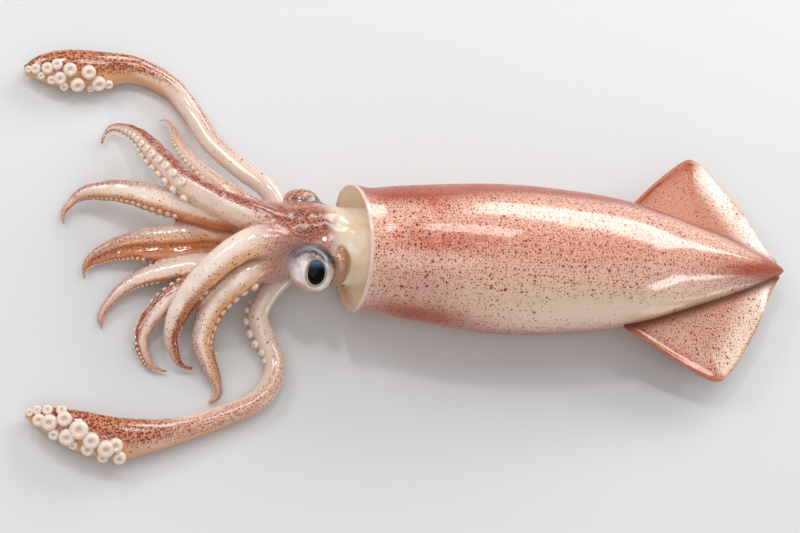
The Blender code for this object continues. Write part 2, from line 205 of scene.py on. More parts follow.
def draw_out(name, rings, sides):
    """A disc drawn out through rings by extruding: each is x, y, z, half width, half height."""
    select_nothing()
    x, y, z, wide, high = rings[0]
    bpy.ops.mesh.primitive_circle_add(
        vertices=sides, radius=1, fill_type="TRIFAN", rotation=(0, pi / 2, 0)
    )
    made = new_piece(name)
    edit_all()
    bpy.ops.transform.resize(value=(1, wide, high), center_override=(0, 0, 0))
    bpy.ops.transform.translate(value=(x, y, z))
    for before, ring in zip(rings, rings[1:]):
        bpy.ops.mesh.extrude_region()
        bpy.ops.transform.translate(value=[b - a for a, b in zip(before[:3], ring[:3])])
        bpy.ops.transform.resize(
            value=(1, ring[3] / before[3], ring[4] / before[4]), center_override=ring[:3]
        )
    close_mesh(merge=0.01 * MM)
    return made


def unit(rows):
    """Each row of a table of directions, made one long."""
    return rows / np.maximum(np.linalg.norm(rows, axis=1, keepdims=True), 1e-9)


def points_of(obj):
    co = np.empty(len(obj.data.vertices) * 3)
    obj.data.vertices.foreach_get("co", co)
    return co.reshape(-1, 3)


def move_points(obj, points):
    obj.data.vertices.foreach_set("co", np.asarray(points, float).ravel())
    obj.data.update()


def paint(obj, **masks):
    """Stores masks from 0 to 1, a number per vertex, for a material to read by their names."""
    for name, values in masks.items():
        values = np.broadcast_to(np.clip(values, 0, 1), len(obj.data.vertices))
        layer = obj.data.attributes.new(name, "FLOAT", "POINT")
        layer.data.foreach_set("value", values.astype(np.float32))


def unwrap(obj, layouts):
    """Lays the skin out flat, in mm, as the UV map "skin". Each layout holds, for every vertex,
    how far along and round it lies, how far once round is, and a gap: every face takes the
    layout with the smallest gap, and a face that crosses the seam is kept in one piece."""
    lengthwise, around, full_turn, gap = (np.array(rows) for rows in zip(*layouts))
    mesh = obj.data
    corners = np.empty(len(mesh.loops), np.int32)
    mesh.loops.foreach_get("vertex_index", corners)
    starts = np.empty(len(mesh.polygons), np.int32)
    mesh.polygons.foreach_get("loop_start", starts)
    totals = np.diff(np.append(starts, len(corners)))
    lead = corners[np.repeat(starts, totals)]
    pick = gap.argmin(axis=0)[lead]
    v, turn = around[pick, corners], full_turn[pick, lead]
    v = v - turn * np.round((v - around[pick, lead]) / turn)
    flat = np.stack([lengthwise[pick, corners], v], axis=1).astype(np.float32)
    mesh.uv_layers.new(name="skin").data.foreach_set("uv", flat.ravel())


def layout_round(line, uppers, points):
    """The layout of a tube: along its line, and round it from the side that uppers points to."""
    index, gap = nearest_on(line, points)
    tangents = unit(np.gradient(line[:, :3], axis=0))
    uppers = unit(uppers - tangents * (uppers * tangents).sum(axis=1, keepdims=True))
    offset, radius = points - line[index, :3], line[index, 3] / MM
    lengthwise = (line_steps(line)[index] + (offset * tangents[index]).sum(axis=1)) / MM
    across = np.cross(tangents, uppers)[index]
    angle = np.arctan2((offset * across).sum(axis=1), (offset * uppers[index]).sum(axis=1))
    return lengthwise, angle * radius, 2 * pi * radius, gap


def line_steps(line):
    """How far along a line each of its points lies, in metres."""
    return np.append(0, np.cumsum(np.linalg.norm(np.diff(line[:, :3], axis=0), axis=1)))


def nearest_on(line, points):
    """Index of the nearest line point for each point, and the gap left to the limb's surface."""
    best = np.full(len(points), np.inf)
    index = np.zeros(len(points), int)
    for i, (x, y, z, radius) in enumerate(line):
        gap = np.linalg.norm(points - (x, y, z), axis=1) - radius
        closer = gap < best
        best[closer], index[closer] = gap[closer], i
    return index, best


def apply_modifier(obj, kind, **settings):
    select_only(obj)
    modifier = obj.modifiers.new(kind.lower(), kind)
    for name, value in settings.items():
        setattr(modifier, name, value)
    bpy.ops.object.modifier_apply(modifier=modifier.name)


def smooth_shading(obj):
    select_only(obj)
    bpy.ops.object.shade_smooth()


def join(name, pieces):
    select_only(pieces[0])
    for piece in pieces[1:]:
        piece.select_set(True)
    bpy.ops.object.join()
    pieces[0].name = pieces[0].data.name = name
    return pieces[0]


def finish_piece(obj, material, slot, *nodes):
    """Gives a piece its skin and its body, and lets it stand for its CAD nodes; slot is not used.
    """
    obj.data.materials.clear()
    obj.data.materials.append(material)
    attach(obj, "root")
    if nodes:
        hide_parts(*nodes)
    print(f"{obj.name}: {len(obj.data.polygons)} faces")


def rise(values, start, end):
    """Eases from 0 at start to 1 at end."""
    t = np.clip((np.asarray(values, float) - start) / (end - start), 0, 1)
    return t * t * (3 - 2 * t)


# %% [markdown]
# ## Skin patterns
# Squid skin is a pale, slightly see-through film with thousands of pigment dots. Each dot has a
# dark core and a softer orange halo, and where the squid is flushed they crowd into red patches.
# One node group draws a layer of such dots: a Voronoi pattern cut off at a random radius per cell.
# A second group gives a soft mottle, and a third the faint wet relief that breaks up highlights.

# %% Node helpers
def feed(tree, node, sockets):
    """Wires each named input of a node from a socket, or sets it to a value."""
    for name, value in sockets.items():
        if isinstance(value, bpy.types.NodeSocket):
            tree.links.new(value, node.inputs[name])
        else:
            node.inputs[name].default_value = value


def put(tree, kind, inputs=None, **settings):
    """Adds a node, with its settings and its inputs."""
    made = tree.nodes.new(kind)
    for name, value in settings.items():
        setattr(made, name, value)
    feed(tree, made, inputs or {})
    return made


def maths(tree, operation, a, b=0.0, clamp=False):
    made = put(tree, "ShaderNodeMath", {0: a, 1: b}, operation=operation, use_clamp=clamp)
    return made.outputs[0]


def vector_maths(tree, operation, a, b=(0.0, 0.0, 0.0)):
    made = put(tree, "ShaderNodeVectorMath", {0: a, 1: b}, operation=operation)
    return made.outputs["Value" if operation in ("DISTANCE", "LENGTH") else "Vector"]


def times(tree, a, b):
    return maths(tree, "MULTIPLY", a, b)


def plus(tree, a, b):
    return maths(tree, "ADD", a, b)


def ease(tree, value, low, high, to_low=0.0, to_high=1.0):
    """Map Range with a smooth step."""
    return put(tree, "ShaderNodeMapRange", {
        "Value": value, "From Min": low, "From Max": high, "To Min": to_low, "To Max": to_high,
    }, interpolation_type="SMOOTHSTEP").outputs[0]


def tone(red, green, blue):
    """A colour from 0 to 255 as on a paint chart, made linear for a shader."""
    parts = [c / 255 for c in (red, green, blue)]
    return (*[p / 12.92 if p <= 0.04045 else ((p + 0.055) / 1.055) ** 2.4 for p in parts], 1.0)


def over(tree, mask, below, above):
    """Mixes two colours by a mask."""
    return put(tree, "ShaderNodeMix", {0: mask, 6: below, 7: above}, data_type="RGBA").outputs[2]


def painted(tree, name):
    return put(tree, "ShaderNodeAttribute", attribute_name=name).outputs["Fac"]


def glaze(tree, colour, *coats):
    """Lays tints over a colour: each is a mask or a painted mask's name, a strength, a tone."""
    for mask, strength, tint in coats:
        if isinstance(mask, str):
            mask = painted(tree, mask)
        if strength != 1:
            mask = maths(tree, "MULTIPLY", mask, strength, clamp=True)
        colour = over(tree, mask, colour, tone(*tint))
    return colour


def new_group(name, inputs, outputs):
    """An empty node group with named sockets: inputs are name: default, outputs are names."""
    group = bpy.data.node_groups.new(name, "ShaderNodeTree")
    for socket, default in inputs.items():
        kind = "NodeSocketVector" if isinstance(default, tuple) else "NodeSocketFloat"
        made = group.interface.new_socket(name=socket, in_out="INPUT", socket_type=kind)
        made.default_value = default
    for socket in outputs:
        group.interface.new_socket(name=socket, in_out="OUTPUT", socket_type="NodeSocketFloat")
    return group, put(group, "NodeGroupInput").outputs, put(group, "NodeGroupOutput").inputs


def use_group(tree, group, **inputs):
    made = put(tree, "ShaderNodeGroup", node_tree=group)
    feed(tree, made, {name.replace("_", " "): value for name, value in inputs.items()})
    return made.outputs


# %% Pigment dots
DOTS, given, out = new_group(
    "Pigment dots",
    {"Spacing": 1.5, "Radius": 0.35, "Density": 0.6, "Shift": (0.0, 0.0, 0.0)},
    ("Core", "Halo"),
)
place = put(DOTS, "ShaderNodeUVMap", uv_map="skin").outputs[0]
place = vector_maths(DOTS, "ADD", place, given["Shift"])
cells = put(DOTS, "ShaderNodeTexVoronoi", {
    "Vector": place, "Scale": maths(DOTS, "DIVIDE", 1.0, given["Spacing"]), "Randomness": 0.85,
}, voronoi_dimensions="2D")
lot = put(DOTS, "ShaderNodeSeparateColor", {0: cells.outputs["Color"]}).outputs
size = maths(DOTS, "DIVIDE", given["Radius"], given["Spacing"])
size = times(DOTS, size, plus(DOTS, times(DOTS, lot[0], 0.75), 0.5))
present = maths(DOTS, "LESS_THAN", lot[1], given["Density"])
share = maths(DOTS, "DIVIDE", cells.outputs["Distance"], size)
for layer, end in (("Core", 1.12), ("Halo", 2.2)):
    DOTS.links.new(times(DOTS, ease(DOTS, share, 0.8, end, 1.0, 0.0), present), out[layer])
print("pigment dots:", len(DOTS.nodes), "nodes")

# %% Mottle
MOTTLE, given, out = new_group("Mottle", {"Patch": 4.0, "Low": 0.45, "High": 0.6}, ("Mask",))
place = put(MOTTLE, "ShaderNodeTexCoord").outputs["Object"]
patches = put(MOTTLE, "ShaderNodeTexNoise", {
    "Vector": place, "Scale": maths(MOTTLE, "DIVIDE", 1000.0, given["Patch"]),
    "Detail": 4.0, "Roughness": 0.62,
})
MOTTLE.links.new(ease(MOTTLE, patches.outputs["Fac"], given["Low"], given["High"]), out["Mask"])
print("mottle:", len(MOTTLE.nodes), "nodes")

# %% Wet relief
RELIEF, given, out = new_group("Wet relief", {"Grain": 1.0, "Folds": 1.0}, ("Height", "Roughness"))
place = put(RELIEF, "ShaderNodeTexCoord").outputs["Object"]
grain = put(RELIEF, "ShaderNodeTexNoise", {"Vector": place, "Scale": 900.0, "Detail": 3.0})
folds = put(RELIEF, "ShaderNodeTexNoise", {"Vector": place, "Scale": 140.0, "Detail": 2.0})
height = times(RELIEF, grain.outputs["Fac"], times(RELIEF, given["Grain"], 0.09))
swell = times(RELIEF, folds.outputs["Fac"], times(RELIEF, given["Folds"], 0.5))
RELIEF.links.new(plus(RELIEF, height, swell), out["Height"])
RELIEF.links.new(ease(RELIEF, folds.outputs["Fac"], 0.3, 0.7, 0.30, 0.46), out["Roughness"])
print("node groups:", [group.name for group in bpy.data.node_groups])


# %% [markdown]
# Every skin ends in the same way: a Principled shader that lets light sink in a millimetre or
# two, under a thin clear coat for the wetness. Only colours and relief differ between pieces.

# %% Skin shader
def new_material(name):
    material = bpy.data.materials.new(name)
    material.use_nodes = True
    tree = material.node_tree
    return material, tree, tree.nodes["Principled BSDF"]


SLIME_IOR = 1.8  # the wet film mirrors the softboxes more brightly than water would


def wet_finish(tree, shader, colour, grain=1.0, folds=1.0, coat=0.9, coat_roughness=0.12,
               subsurface=0.12, bump=0.5):
    """Joins a colour to the skin's shader, with a fine relief under a glossy film of slime."""
    relief = use_group(tree, RELIEF, Grain=grain, Folds=folds)
    normal = put(tree, "ShaderNodeBump", {
        "Height": relief["Height"], "Strength": bump, "Distance": 0.6 * MM,
    }).outputs[0]
    feed(tree, shader, {
        "Base Color": colour, "Roughness": relief["Roughness"], "Normal": normal,
        "Subsurface Weight": subsurface, "Subsurface Radius": (1.0, 0.6, 0.42),
        "Subsurface Scale": 1.6 * MM, "Coat Weight": coat, "Coat Roughness": coat_roughness,
        "Coat IOR": SLIME_IOR, "IOR": 1.4, "Specular IOR Level": 0.1,
    })


def dotted(tree, colour, density, layers):
    """Lays layers of dots over a colour: each is spacing and radius in mm, density gain, shift,
    the tones of core and halo, and how strong the halo is."""
    for spacing, radius, gain, shift, core, halo, halo_strength in layers:
        dots = use_group(
            tree, DOTS, Spacing=spacing, Radius=radius, Shift=(shift, shift * 2, 0.0),
            Density=maths(tree, "MULTIPLY", density, gain, clamp=True),
        )
        colour = glaze(tree, colour, (dots["Halo"], halo_strength, halo), (dots["Core"], 1, core))
    return colour


# %% [markdown]
# ## Mantle
# The mantle is a sleeve 200 mm long that swells a third of the way back and then tapers to the
# tail. It is one skin, so it is drawn out from one disc: the floor of the cavity first, forward
# along the inner wall, round the rolled collar, and back along the outside to the tip of the tail.

# %% Mantle shape
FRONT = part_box("mantle")[0].x + 1.0 * MM
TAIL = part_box("mantle")[1].x
MANTLE_RADII = (
    # share of the length from the collar, radius in mm
    (0.0, 25.1), (0.012, 24.9), (0.04, 24.3), (0.12, 26.6), (0.30, 29.8), (0.45, 29.1),
    (0.60, 25.8), (0.75, 18.4), (0.90, 9.0), (0.97, 3.7), (0.992, 1.6), (1.0, 0.25),
)
MANTLE_AXIS = (
    # x, y and z in mm
    (-91, 0, 26.5), (-30, -3.5, 27.6), (30, -3, 23.8), (60, -1.5, 20), (110, 0, 14),
)
LIP = 0.45 * MM  # half the thickness of the collar's edge
CAVITY = (
    # depth behind the collar and radius in mm, from the floor to the lip
    (28, 4), (28, 12), (28, 17.6), (26.5, 20.0), (20, 22.2), (12, 23.0), (5, 23.2), (1.5, 23.9),
)


def mantle_axis(x):
    y, z = table_at(MANTLE_AXIS, x / MM)
    return y * MM, z * MM


rim = MANTLE_RADII[0][1] * MM - LIP
profile = [(FRONT + depth * MM, radius * MM) for depth, radius in CAVITY]
profile += [(FRONT - LIP * sin(a), rim - LIP * cos(a)) for a in np.arange(5) * pi / 5]
outside = smooth_line(MANTLE_RADII, 400)
shares = np.concatenate([
    np.linspace(0, 0.06, 5), np.linspace(0.085, 0.94, 40), np.linspace(0.95, 1, 9)])
radii = np.interp(shares, outside[:, 0], outside[:, 1]) * MM
profile += [(FRONT + share * (TAIL - FRONT), radius) for share, radius in zip(shares, radii)]
rings = []
for x, radius in profile:
    y, z = mantle_axis(x)
    rings.append((x, y, z, radius, radius))
mantle = draw_out("mantle_skin", rings, sides=64)
apply_modifier(mantle, "SUBSURF", levels=1, render_levels=1)
print("mantle rings:", len(rings))

# %% [markdown]
# It lies on a table, so its weight presses the belly flat. Points near the table are eased up to
# it with a soft curve, the way a sculpting brush would flatten them, so no hard edge appears.

# %% Belly pressed flat
PRESS = 2.0 * MM
COLLAR_LEAN = 0.12  # the collar's lower edge lies a little behind its upper edge


def press_down(points):
    """Eases every point below PRESS up to the table at z = 0."""
    z = points[:, 2]
    points[:, 2] = np.where(z > PRESS, z, np.where(z < -PRESS, 0, (z + PRESS) ** 2 / (4 * PRESS)))
    return points


points = press_down(points_of(mantle))
below = np.maximum(mantle_axis(FRONT)[1] - points[:, 2], 0)
points[:, 0] += COLLAR_LEAN * below * (1 - rise(points[:, 0], FRONT, FRONT + 30 * MM))
move_points(mantle, points)
smooth_shading(mantle)
print("mantle, mm:", [round(side / MM, 1) for side in mantle.dimensions])

# %% [markdown]
# The flush isn't even: red patches sit behind the collar and on the tail, the near flank is bare
# and beige, and the far side turns violet. Soft blobs, placed by distance along the body and
# angle round it, are painted on the vertices, and the material mixes its colours by them.

# %% Mantle colour map
def blobs(x, angle, places):
    """Sums soft spots: each is weight, x and angle of its middle, and its reach in both."""
    return sum(
        weight * np.exp(-((x - at_x) / reach_x) ** 2 - ((angle - at_angle) / reach_angle) ** 2)
        for weight, at_x, at_angle, reach_x, reach_angle in places)


PATCHES = {
    # name: weight, x and angle of the middle, reach along x and round, in mm and degrees
    "red": (
        (1.0, -69, -14, 12, 13), (0.9, -62, 22, 6, 11), (0.75, -74, 44, 12, 16),
        (0.7, -50, -8, 16, 13), (0.55, 0, -12, 55, 15), (1.0, 84, -26, 22, 16),
        (1.0, 108, 0, 9, 300), (0.85, -50, 50, 34, 15), (0.45, 10, 52, 40, 13),
        (1.0, -70, -92, 16, 19), (0.6, -30, -112, 46, 12), (0.4, 50, -108, 50, 14)),
    "pale": (
        (1.0, -10, -66, 42, 24), (0.9, 46, -76, 36, 22), (0.6, 0, 180, 120, 50),
        (0.6, 0, -180, 120, 50)),
    "violet": (
        (0.45, -70, -50, 13, 17), (0.9, 52, 48, 44, 16), (0.35, -86, -100, 10, 30),
        (0.8, 90, -56, 14, 12), (0.6, -84, 60, 12, 30), (0.3, -30, -118, 50, 16),
        (0.7, -20, 72, 60, 12)),
    # brown: dense pigment on the back and the tail, deepened into painted shade along the upper
    # edge and the lower flank
    "brown": (
        (1.5, -70, 45, 26, 19), (1.4, -30, 52, 50, 15), (1.5, 30, 56, 60, 16),
        (1.1, -64, -88, 22, 17), (0.85, -8, -106, 46, 13), (0.85, 58, -98, 32, 14),
        (1.1, 92, -28, 20, 20), (1.1, 84, 50, 26, 20), (1.9, 108, 0, 13, 300)),
}
AXIS_STEPS = np.linspace(-92, 111, 60)
AXIS_Y, AXIS_Z = np.array([table_at(MANTLE_AXIS, x) for x in AXIS_STEPS]).T


def radius_at(x):
    """The mantle's outer radius, in mm, at a distance along the body in metres."""
    return np.interp((x - FRONT) / (TAIL - FRONT), outside[:, 0], outside[:, 1])


points = points_of(mantle)
x_mm = points[:, 0] / MM
offset_y = points[:, 1] / MM - np.interp(x_mm, AXIS_STEPS, AXIS_Y)
offset_z = points[:, 2] / MM - np.interp(x_mm, AXIS_STEPS, AXIS_Z)
angle = np.degrees(np.arctan2(offset_y, offset_z))
outer_radius = radius_at(points[:, 0])
inside = 1 - rise(np.hypot(offset_y, offset_z) - outer_radius, -1.1, -0.5)
inside = np.where(x_mm > FRONT / MM + 29, 0, inside)
masks = {name: blobs(x_mm, angle, places) for name, places in PATCHES.items()}
rim_mask = (1 - rise(x_mm, FRONT / MM + 0.2, FRONT / MM + 1.5)) * (1 - inside)
paint(
    mantle, **masks, inside=inside, rim=rim_mask,
    dots=(0.8 + 0.5 * masks["red"] - 0.72 * masks["pale"]) * (1 - inside) * (1 - rim_mask),
)
around_mm = np.radians(angle) * outer_radius
unwrap(mantle, [(x_mm, around_mm, 2 * pi * outer_radius, np.zeros(len(x_mm)))])
print("share of the skin flushed:", round(float((masks["red"] > 0.3).mean()), 2))

# %% Mantle material
SMALL_DOT, DARK_DOT, HALO = (140, 26, 4), (104, 10, 2), (212, 80, 34)
GLOW_THROUGH = 0.22  # light that soaks through the wall and shows inside the collar
mantle_skin, tree, shader = new_material("mantle_skin")
patch = use_group(tree, MOTTLE, Patch=2.2, Low=0.38, High=0.62)["Mask"]
flush = times(tree, painted(tree, "red"), plus(tree, times(tree, patch, 0.4), 0.4))
# The brown patches lay dark pigment on the back and tail, and painted shade along the upper and
# lower edges.
colour = glaze(
    tree, tone(238, 193, 168), ("pale", 1, (236, 206, 178)), ("violet", 1, (190, 138, 138)),
    (flush, 1, (202, 92, 62)), ("brown", 0.78, (144, 50, 18)),
)
colour = dotted(tree, colour, painted(tree, "dots"), (
    (0.8, 0.17, 0.9, 3.1, (156, 44, 16), (214, 112, 72), 0.18),
    (1.2, 0.25, 0.9, 7.7, SMALL_DOT, HALO, 0.3),
    (2.2, 0.33, 0.6, 1.9, DARK_DOT, HALO, 0.5),
    (5.0, 0.46, 0.5, 5.3, DARK_DOT, HALO, 0.6),
))
# Painted light: inside the collar the wall is painted pale and made to glow, for light that soaks
# through it.
colour = glaze(tree, colour, ("rim", 1, (232, 200, 190)), ("inside", 1, (232, 218, 200)))
glow = glaze(tree, tone(0, 0, 0), ("inside", 1, (222, 202, 176)))
wet_finish(tree, shader, colour, grain=2.2, folds=0.5)
slime = maths(tree, "SUBTRACT", 0.9, times(tree, painted(tree, "brown"), 0.45), clamp=True)
feed(tree, shader, {
    "Coat Weight": slime, "Emission Color": glow, "Emission Strength": GLOW_THROUGH,
})
finish_piece(mantle, mantle_skin, "mantle_skin", "mantle")

# %% [markdown]
# ## Fins
# Each fin is half of a rounded rhombus, thin and a little translucent, with a thick rolled front
# edge. A grid is stretched between the flank and the free edge, thickened with Solidify by a
# vertex group that is full along the front roll, and rounded with Subdivision Surface.

# %% Fin shapes
FIN_SPAN, FIN_END = 50 * MM, 107 * MM
FIN_COLUMNS, FIN_ROWS = 36, 16
FIN_THICKNESS = 2.6 * MM
ROOT_SUNK = 1.6 * MM  # how deep the fin's root lies inside the mantle
RIPPLE, RIPPLES_PER_MM = 0.5 * MM, 0.42  # small waves along the trailing edge
FIN_SAG, LEAST_SPAN = 1.3 * MM, 1.2 * MM
DROOP, DROOP_CURVE = 1.6, 1.4  # how far and how late the fin falls to its tip's height
ROWS_CROWDING = 1.35  # above 1, the rows of the grid lie closer near the free edge
NEVER_ROUND = 1e6  # a fin is flat, so once round it is a length that it never reaches
FINS = (
    # name, side, x of the front end and of the tip, height of the tip, all in mm
    ("fin_right", 1, 37, 75, 15),
    ("fin_left", -1, 25, 69, 12),
)


def fin_edge(front, tip_x, flank):
    """The free edge, from the front end round the tip to the tail: x and distance out."""
    leading, trailing, out = tip_x - front, FIN_END - tip_x, FIN_SPAN - flank
    return smooth_line([
        (front, flank, 0),
        (front + 0.45 * leading, flank + 0.54 * out, 0),
        (tip_x - 0.12 * leading, flank + 0.95 * out, 0),
        (tip_x + 0.03 * trailing, FIN_SPAN, 0),
        (tip_x + 0.20 * trailing, 0.90 * FIN_SPAN, 0),
        (tip_x + 0.55 * trailing, 0.57 * FIN_SPAN, 0),
        (tip_x + 0.86 * trailing, 0.20 * FIN_SPAN, 0),
        (FIN_END, radius_at(FIN_END) * MM + LEAST_SPAN, 0),
    ], FIN_COLUMNS + 1)


def make_fin(name, side, front, tip_x, tip_height):
    front, tip_x, tip_height = front * MM, tip_x * MM, tip_height * MM
    edge = fin_edge(front, tip_x, side * mantle_axis(front)[0] + radius_at(front) * MM)
    select_nothing()
    bpy.ops.mesh.primitive_grid_add(
        x_subdivisions=FIN_COLUMNS, y_subdivisions=FIN_ROWS, size=1, location=(0.5, 0.5, 0)
    )
    fin = new_piece(name + "_web")
    thick = fin.vertex_groups.new(name="thick")
    for vertex in fin.data.vertices:
        share, out = vertex.co.x, 1 - (1 - vertex.co.y) ** ROWS_CROWDING
        root_x = front + (FIN_END - front) * share
        axis_y, root_z = mantle_axis(root_x)
        root_y = side * axis_y + radius_at(root_x) * MM - ROOT_SUNK
        edge_x, edge_y, _ = edge[round(share * FIN_COLUMNS)]
        span = out * max(edge_y - root_y, LEAST_SPAN)
        droop = (tip_height - root_z) * DROOP * (span / FIN_SPAN) ** DROOP_CURVE
        is_lead = float(1 - rise(edge_x, tip_x - 4 * MM, tip_x + 8 * MM))
        ripple = RIPPLE * sin(edge_x / MM * RIPPLES_PER_MM) * out**2 * (1 - is_lead)
        sag = -FIN_SAG * sin(pi * out) * is_lead
        vertex.co = (
            root_x + (edge_x - root_x) * out, side * (root_y + span),
            root_z + droop + ripple + sag,
        )
        roll = float(rise(out, 0.86, 0.94)) * is_lead
        web = 0.62 - 0.22 * out - 0.12 * (1 - is_lead) * out
        thick.add([vertex.index], max(web + 0.45 * roll, 0.2), "REPLACE")
    apply_modifier(
        fin, "SOLIDIFY", thickness=FIN_THICKNESS, offset=0, vertex_group="thick",
        use_even_offset=False,
    )
    apply_modifier(fin, "SUBSURF", levels=1, render_levels=1)
    select_only(fin)
    edit_all()
    close_mesh()
    fin.vertex_groups.clear()
    move_points(fin, press_down(points_of(fin)))
    paint_fin(fin, side, edge, tip_x)
    smooth_shading(fin)
    return fin


def paint_fin(fin, side, edge, tip_x):
    """How near each point is to the rolled front edge, the trailing edge and the mantle."""
    x, y, _ = points_of(fin).T
    ends, fine_ends = np.linspace(0, 1, len(edge)), np.linspace(0, 1, 400)
    fine = np.stack([np.interp(fine_ends, ends, edge[:, i]) for i in (0, 1)], axis=1)
    gap = np.linalg.norm(np.stack([x, side * y], axis=1)[:, None] - fine[None], axis=2)
    nearest, distance = fine[gap.argmin(axis=1)], gap.min(axis=1) / MM
    is_lead = 1 - rise(nearest[:, 0], tip_x - 2 * MM, tip_x + 6 * MM)
    from_root = side * (y / MM - np.interp(x / MM, AXIS_STEPS, AXIS_Y)) - radius_at(x)
    far = max(side, 0)
    # Towards the trailing edge the fin is paler: partly its own pale rim, partly painted sheen.
    trail = (1 - rise(distance, 3, 16)) * (1 - is_lead)
    # The fin's root is painted dark along its crease with the mantle, as painted shade.
    crease = 1 - rise(from_root, 0.5, 5)
    paint(
        fin, roll=(1 - rise(distance, 1.0, 7.5)) * is_lead, brim=1 - rise(distance, 0.5, 1.6),
        trail=trail, root=1 - rise(from_root, 0.5, 9), crease=crease, far=far,
        slime=0.8 - 0.65 * far * (1 - trail) - 0.6 * (1 - far) * crease,
    )
    flat = np.zeros(len(x))
    unwrap(fin, [(x / MM, y / MM, flat + NEVER_ROUND, flat)])


fins = [make_fin(*row) for row in FINS]
print("fins, mm:", [[round(side / MM, 1) for side in fin.dimensions] for fin in fins])

# %% Fin material
fin_skin, tree, shader = new_material("fin_skin")
patch = use_group(tree, MOTTLE, Patch=3.0, Low=0.4, High=0.62)["Mask"]
flush = times(tree, painted(tree, "roll"), plus(tree, times(tree, patch, 0.4), 0.55))
colour = glaze(
    # The far fin is painted darker than the near one, as painted shade.
    tree, tone(214, 172, 150), ("root", 1, (198, 148, 122)), ("far", 0.85, (180, 118, 82)),
    # The trailing edge is painted pale: its own pale rim, brightened further as painted sheen.
    ("trail", 1, (248, 226, 204)), (flush, 1, (164, 70, 40)), (patch, 0.18, (206, 120, 92)),
)
density = maths(tree, "SUBTRACT", 0.85, times(tree, painted(tree, "root"), 0.3))
# Fewer dots show under the painted sheen of the trailing edge.
density = maths(tree, "SUBTRACT", density, times(tree, painted(tree, "trail"), 0.3))
colour = dotted(tree, colour, density, (
    (0.9, 0.18, 1.2, 3.3, (158, 66, 40), (210, 120, 86), 0.25),
    (1.4, 0.25, 1.0, 1.7, SMALL_DOT, HALO, 0.35),
    (2.8, 0.38, 0.6, 6.1, DARK_DOT, HALO, 0.4),
))
# The crease at the fin's root is darkened as painted shade.
colour = glaze(tree, colour, ("brim", 0.6, (190, 106, 64)), ("crease", 0.95, (104, 50, 26)))
wet_finish(tree, shader, colour, folds=0.7, coat=0.8, subsurface=0.15)
feed(tree, shader, {"Coat Weight": painted(tree, "slime")})
for fin, (name, *_) in zip(fins, FINS):
    finish_piece(fin, fin_skin, "fin_skin", name)

# %% [markdown]
# ## Head and arms
# Head and arms are one continuous flesh, with no seam between them. Each arm is a curve with a
# round bevel whose radius follows its guide points. The head is drawn out from a disc, with
# swellings round the eyes. Everything is joined and remeshed into one skin, then relaxed where
# the arms meet, as wet clay would be smoothed with a thumb.

# %% Arm guides
ARMS = {
    # name: guide points x, y, z and radius, in mm, from inside the head to the tip
    "arm_right_1": (
        (-118, 5, 33, 6.5), (-130, 8, 35.5, 6.2), (-142, 14, 34, 5.6), (-154, 25, 28.5, 5.0),
        (-161, 40, 20, 4.4), (-166, 54, 11, 3.0), (-172, 60, 5, 1.7), (-176, 58.5, 3, 1.0),
        (-178, 54, 2.2, 0.5)),
    "arm_left_1": (
        (-116, -1, 34, 6.8), (-128, -2, 36, 6.8), (-138, -5, 34.5, 6.0), (-149, -12, 28, 5.2),
        (-157, -20, 19, 4.2), (-161, -30, 11, 3.0), (-158, -38, 5, 1.8), (-155, -40.5, 3.5, 1.0),
        (-151, -41, 2.2, 0.5)),
    "arm_right_2": (
        (-118, 12, 28, 4.5), (-128, 15, 29, 4.2), (-136, 22, 27.5, 3.7), (-143, 33, 21, 3.0),
        (-148, 47, 12, 2.2), (-149.5, 60, 6, 1.2), (-151, 64.5, 3.5, 0.7), (-154, 65, 2.2, 0.45)),
    "arm_left_2": (
        (-116, -8, 27, 5.0), (-126, -9, 29, 4.8), (-135, -14, 28, 4.7), (-144, -20, 19, 4.3),
        (-149, -31, 11, 3.6), (-146, -41, 6, 2.8), (-142, -49, 3, 1.5), (-143, -53, 2, 1.0),
        (-146, -55, 1.6, 0.45)),
    "arm_right_3": (
        (-118, 10, 21, 5.0), (-128, 13, 21, 4.8), (-142, 15.5, 21, 5.2), (-157, 22, 17, 5.7),
        (-174, 29, 12, 4.3), (-188, 30, 7, 2.6), (-195, 25, 3.5, 1.3), (-196.5, 22, 2.5, 0.8),
        (-196, 19, 1.6, 0.45)),
    "arm_left_3": (
        (-116, -7, 20, 4.8), (-128, -8, 20, 4.6), (-141, -8.5, 17.5, 4.6), (-152, -12, 13.5, 4.5),
        (-163, -18, 9, 3.9), (-171, -29, 6, 2.9), (-169, -38, 3, 1.8), (-165.5, -41, 2.2, 0.9),
        (-161, -42, 1.6, 0.45)),
    "arm_right_4": (
        (-118, 5, 14, 5.2), (-128, 6.5, 13.5, 5.2), (-141, 9.5, 11.5, 6.0), (-158, 9, 9, 6.3),
        (-174, 8, 7, 3.9), (-186, 4, 4, 1.9), (-190, 0, 2.8, 0.9), (-190, -4, 1.6, 0.45)),
    "arm_left_4": (
        (-118, -1, 14, 4.8), (-128, -1.5, 13, 4.8), (-141, -1.5, 10.5, 4.9), (-158, -2.5, 7, 4.4),
        (-173, -7, 5, 3.0), (-183, -16, 3, 1.7), (-185.5, -21, 2.2, 1.0), (-185, -25, 1.6, 0.45)),
}
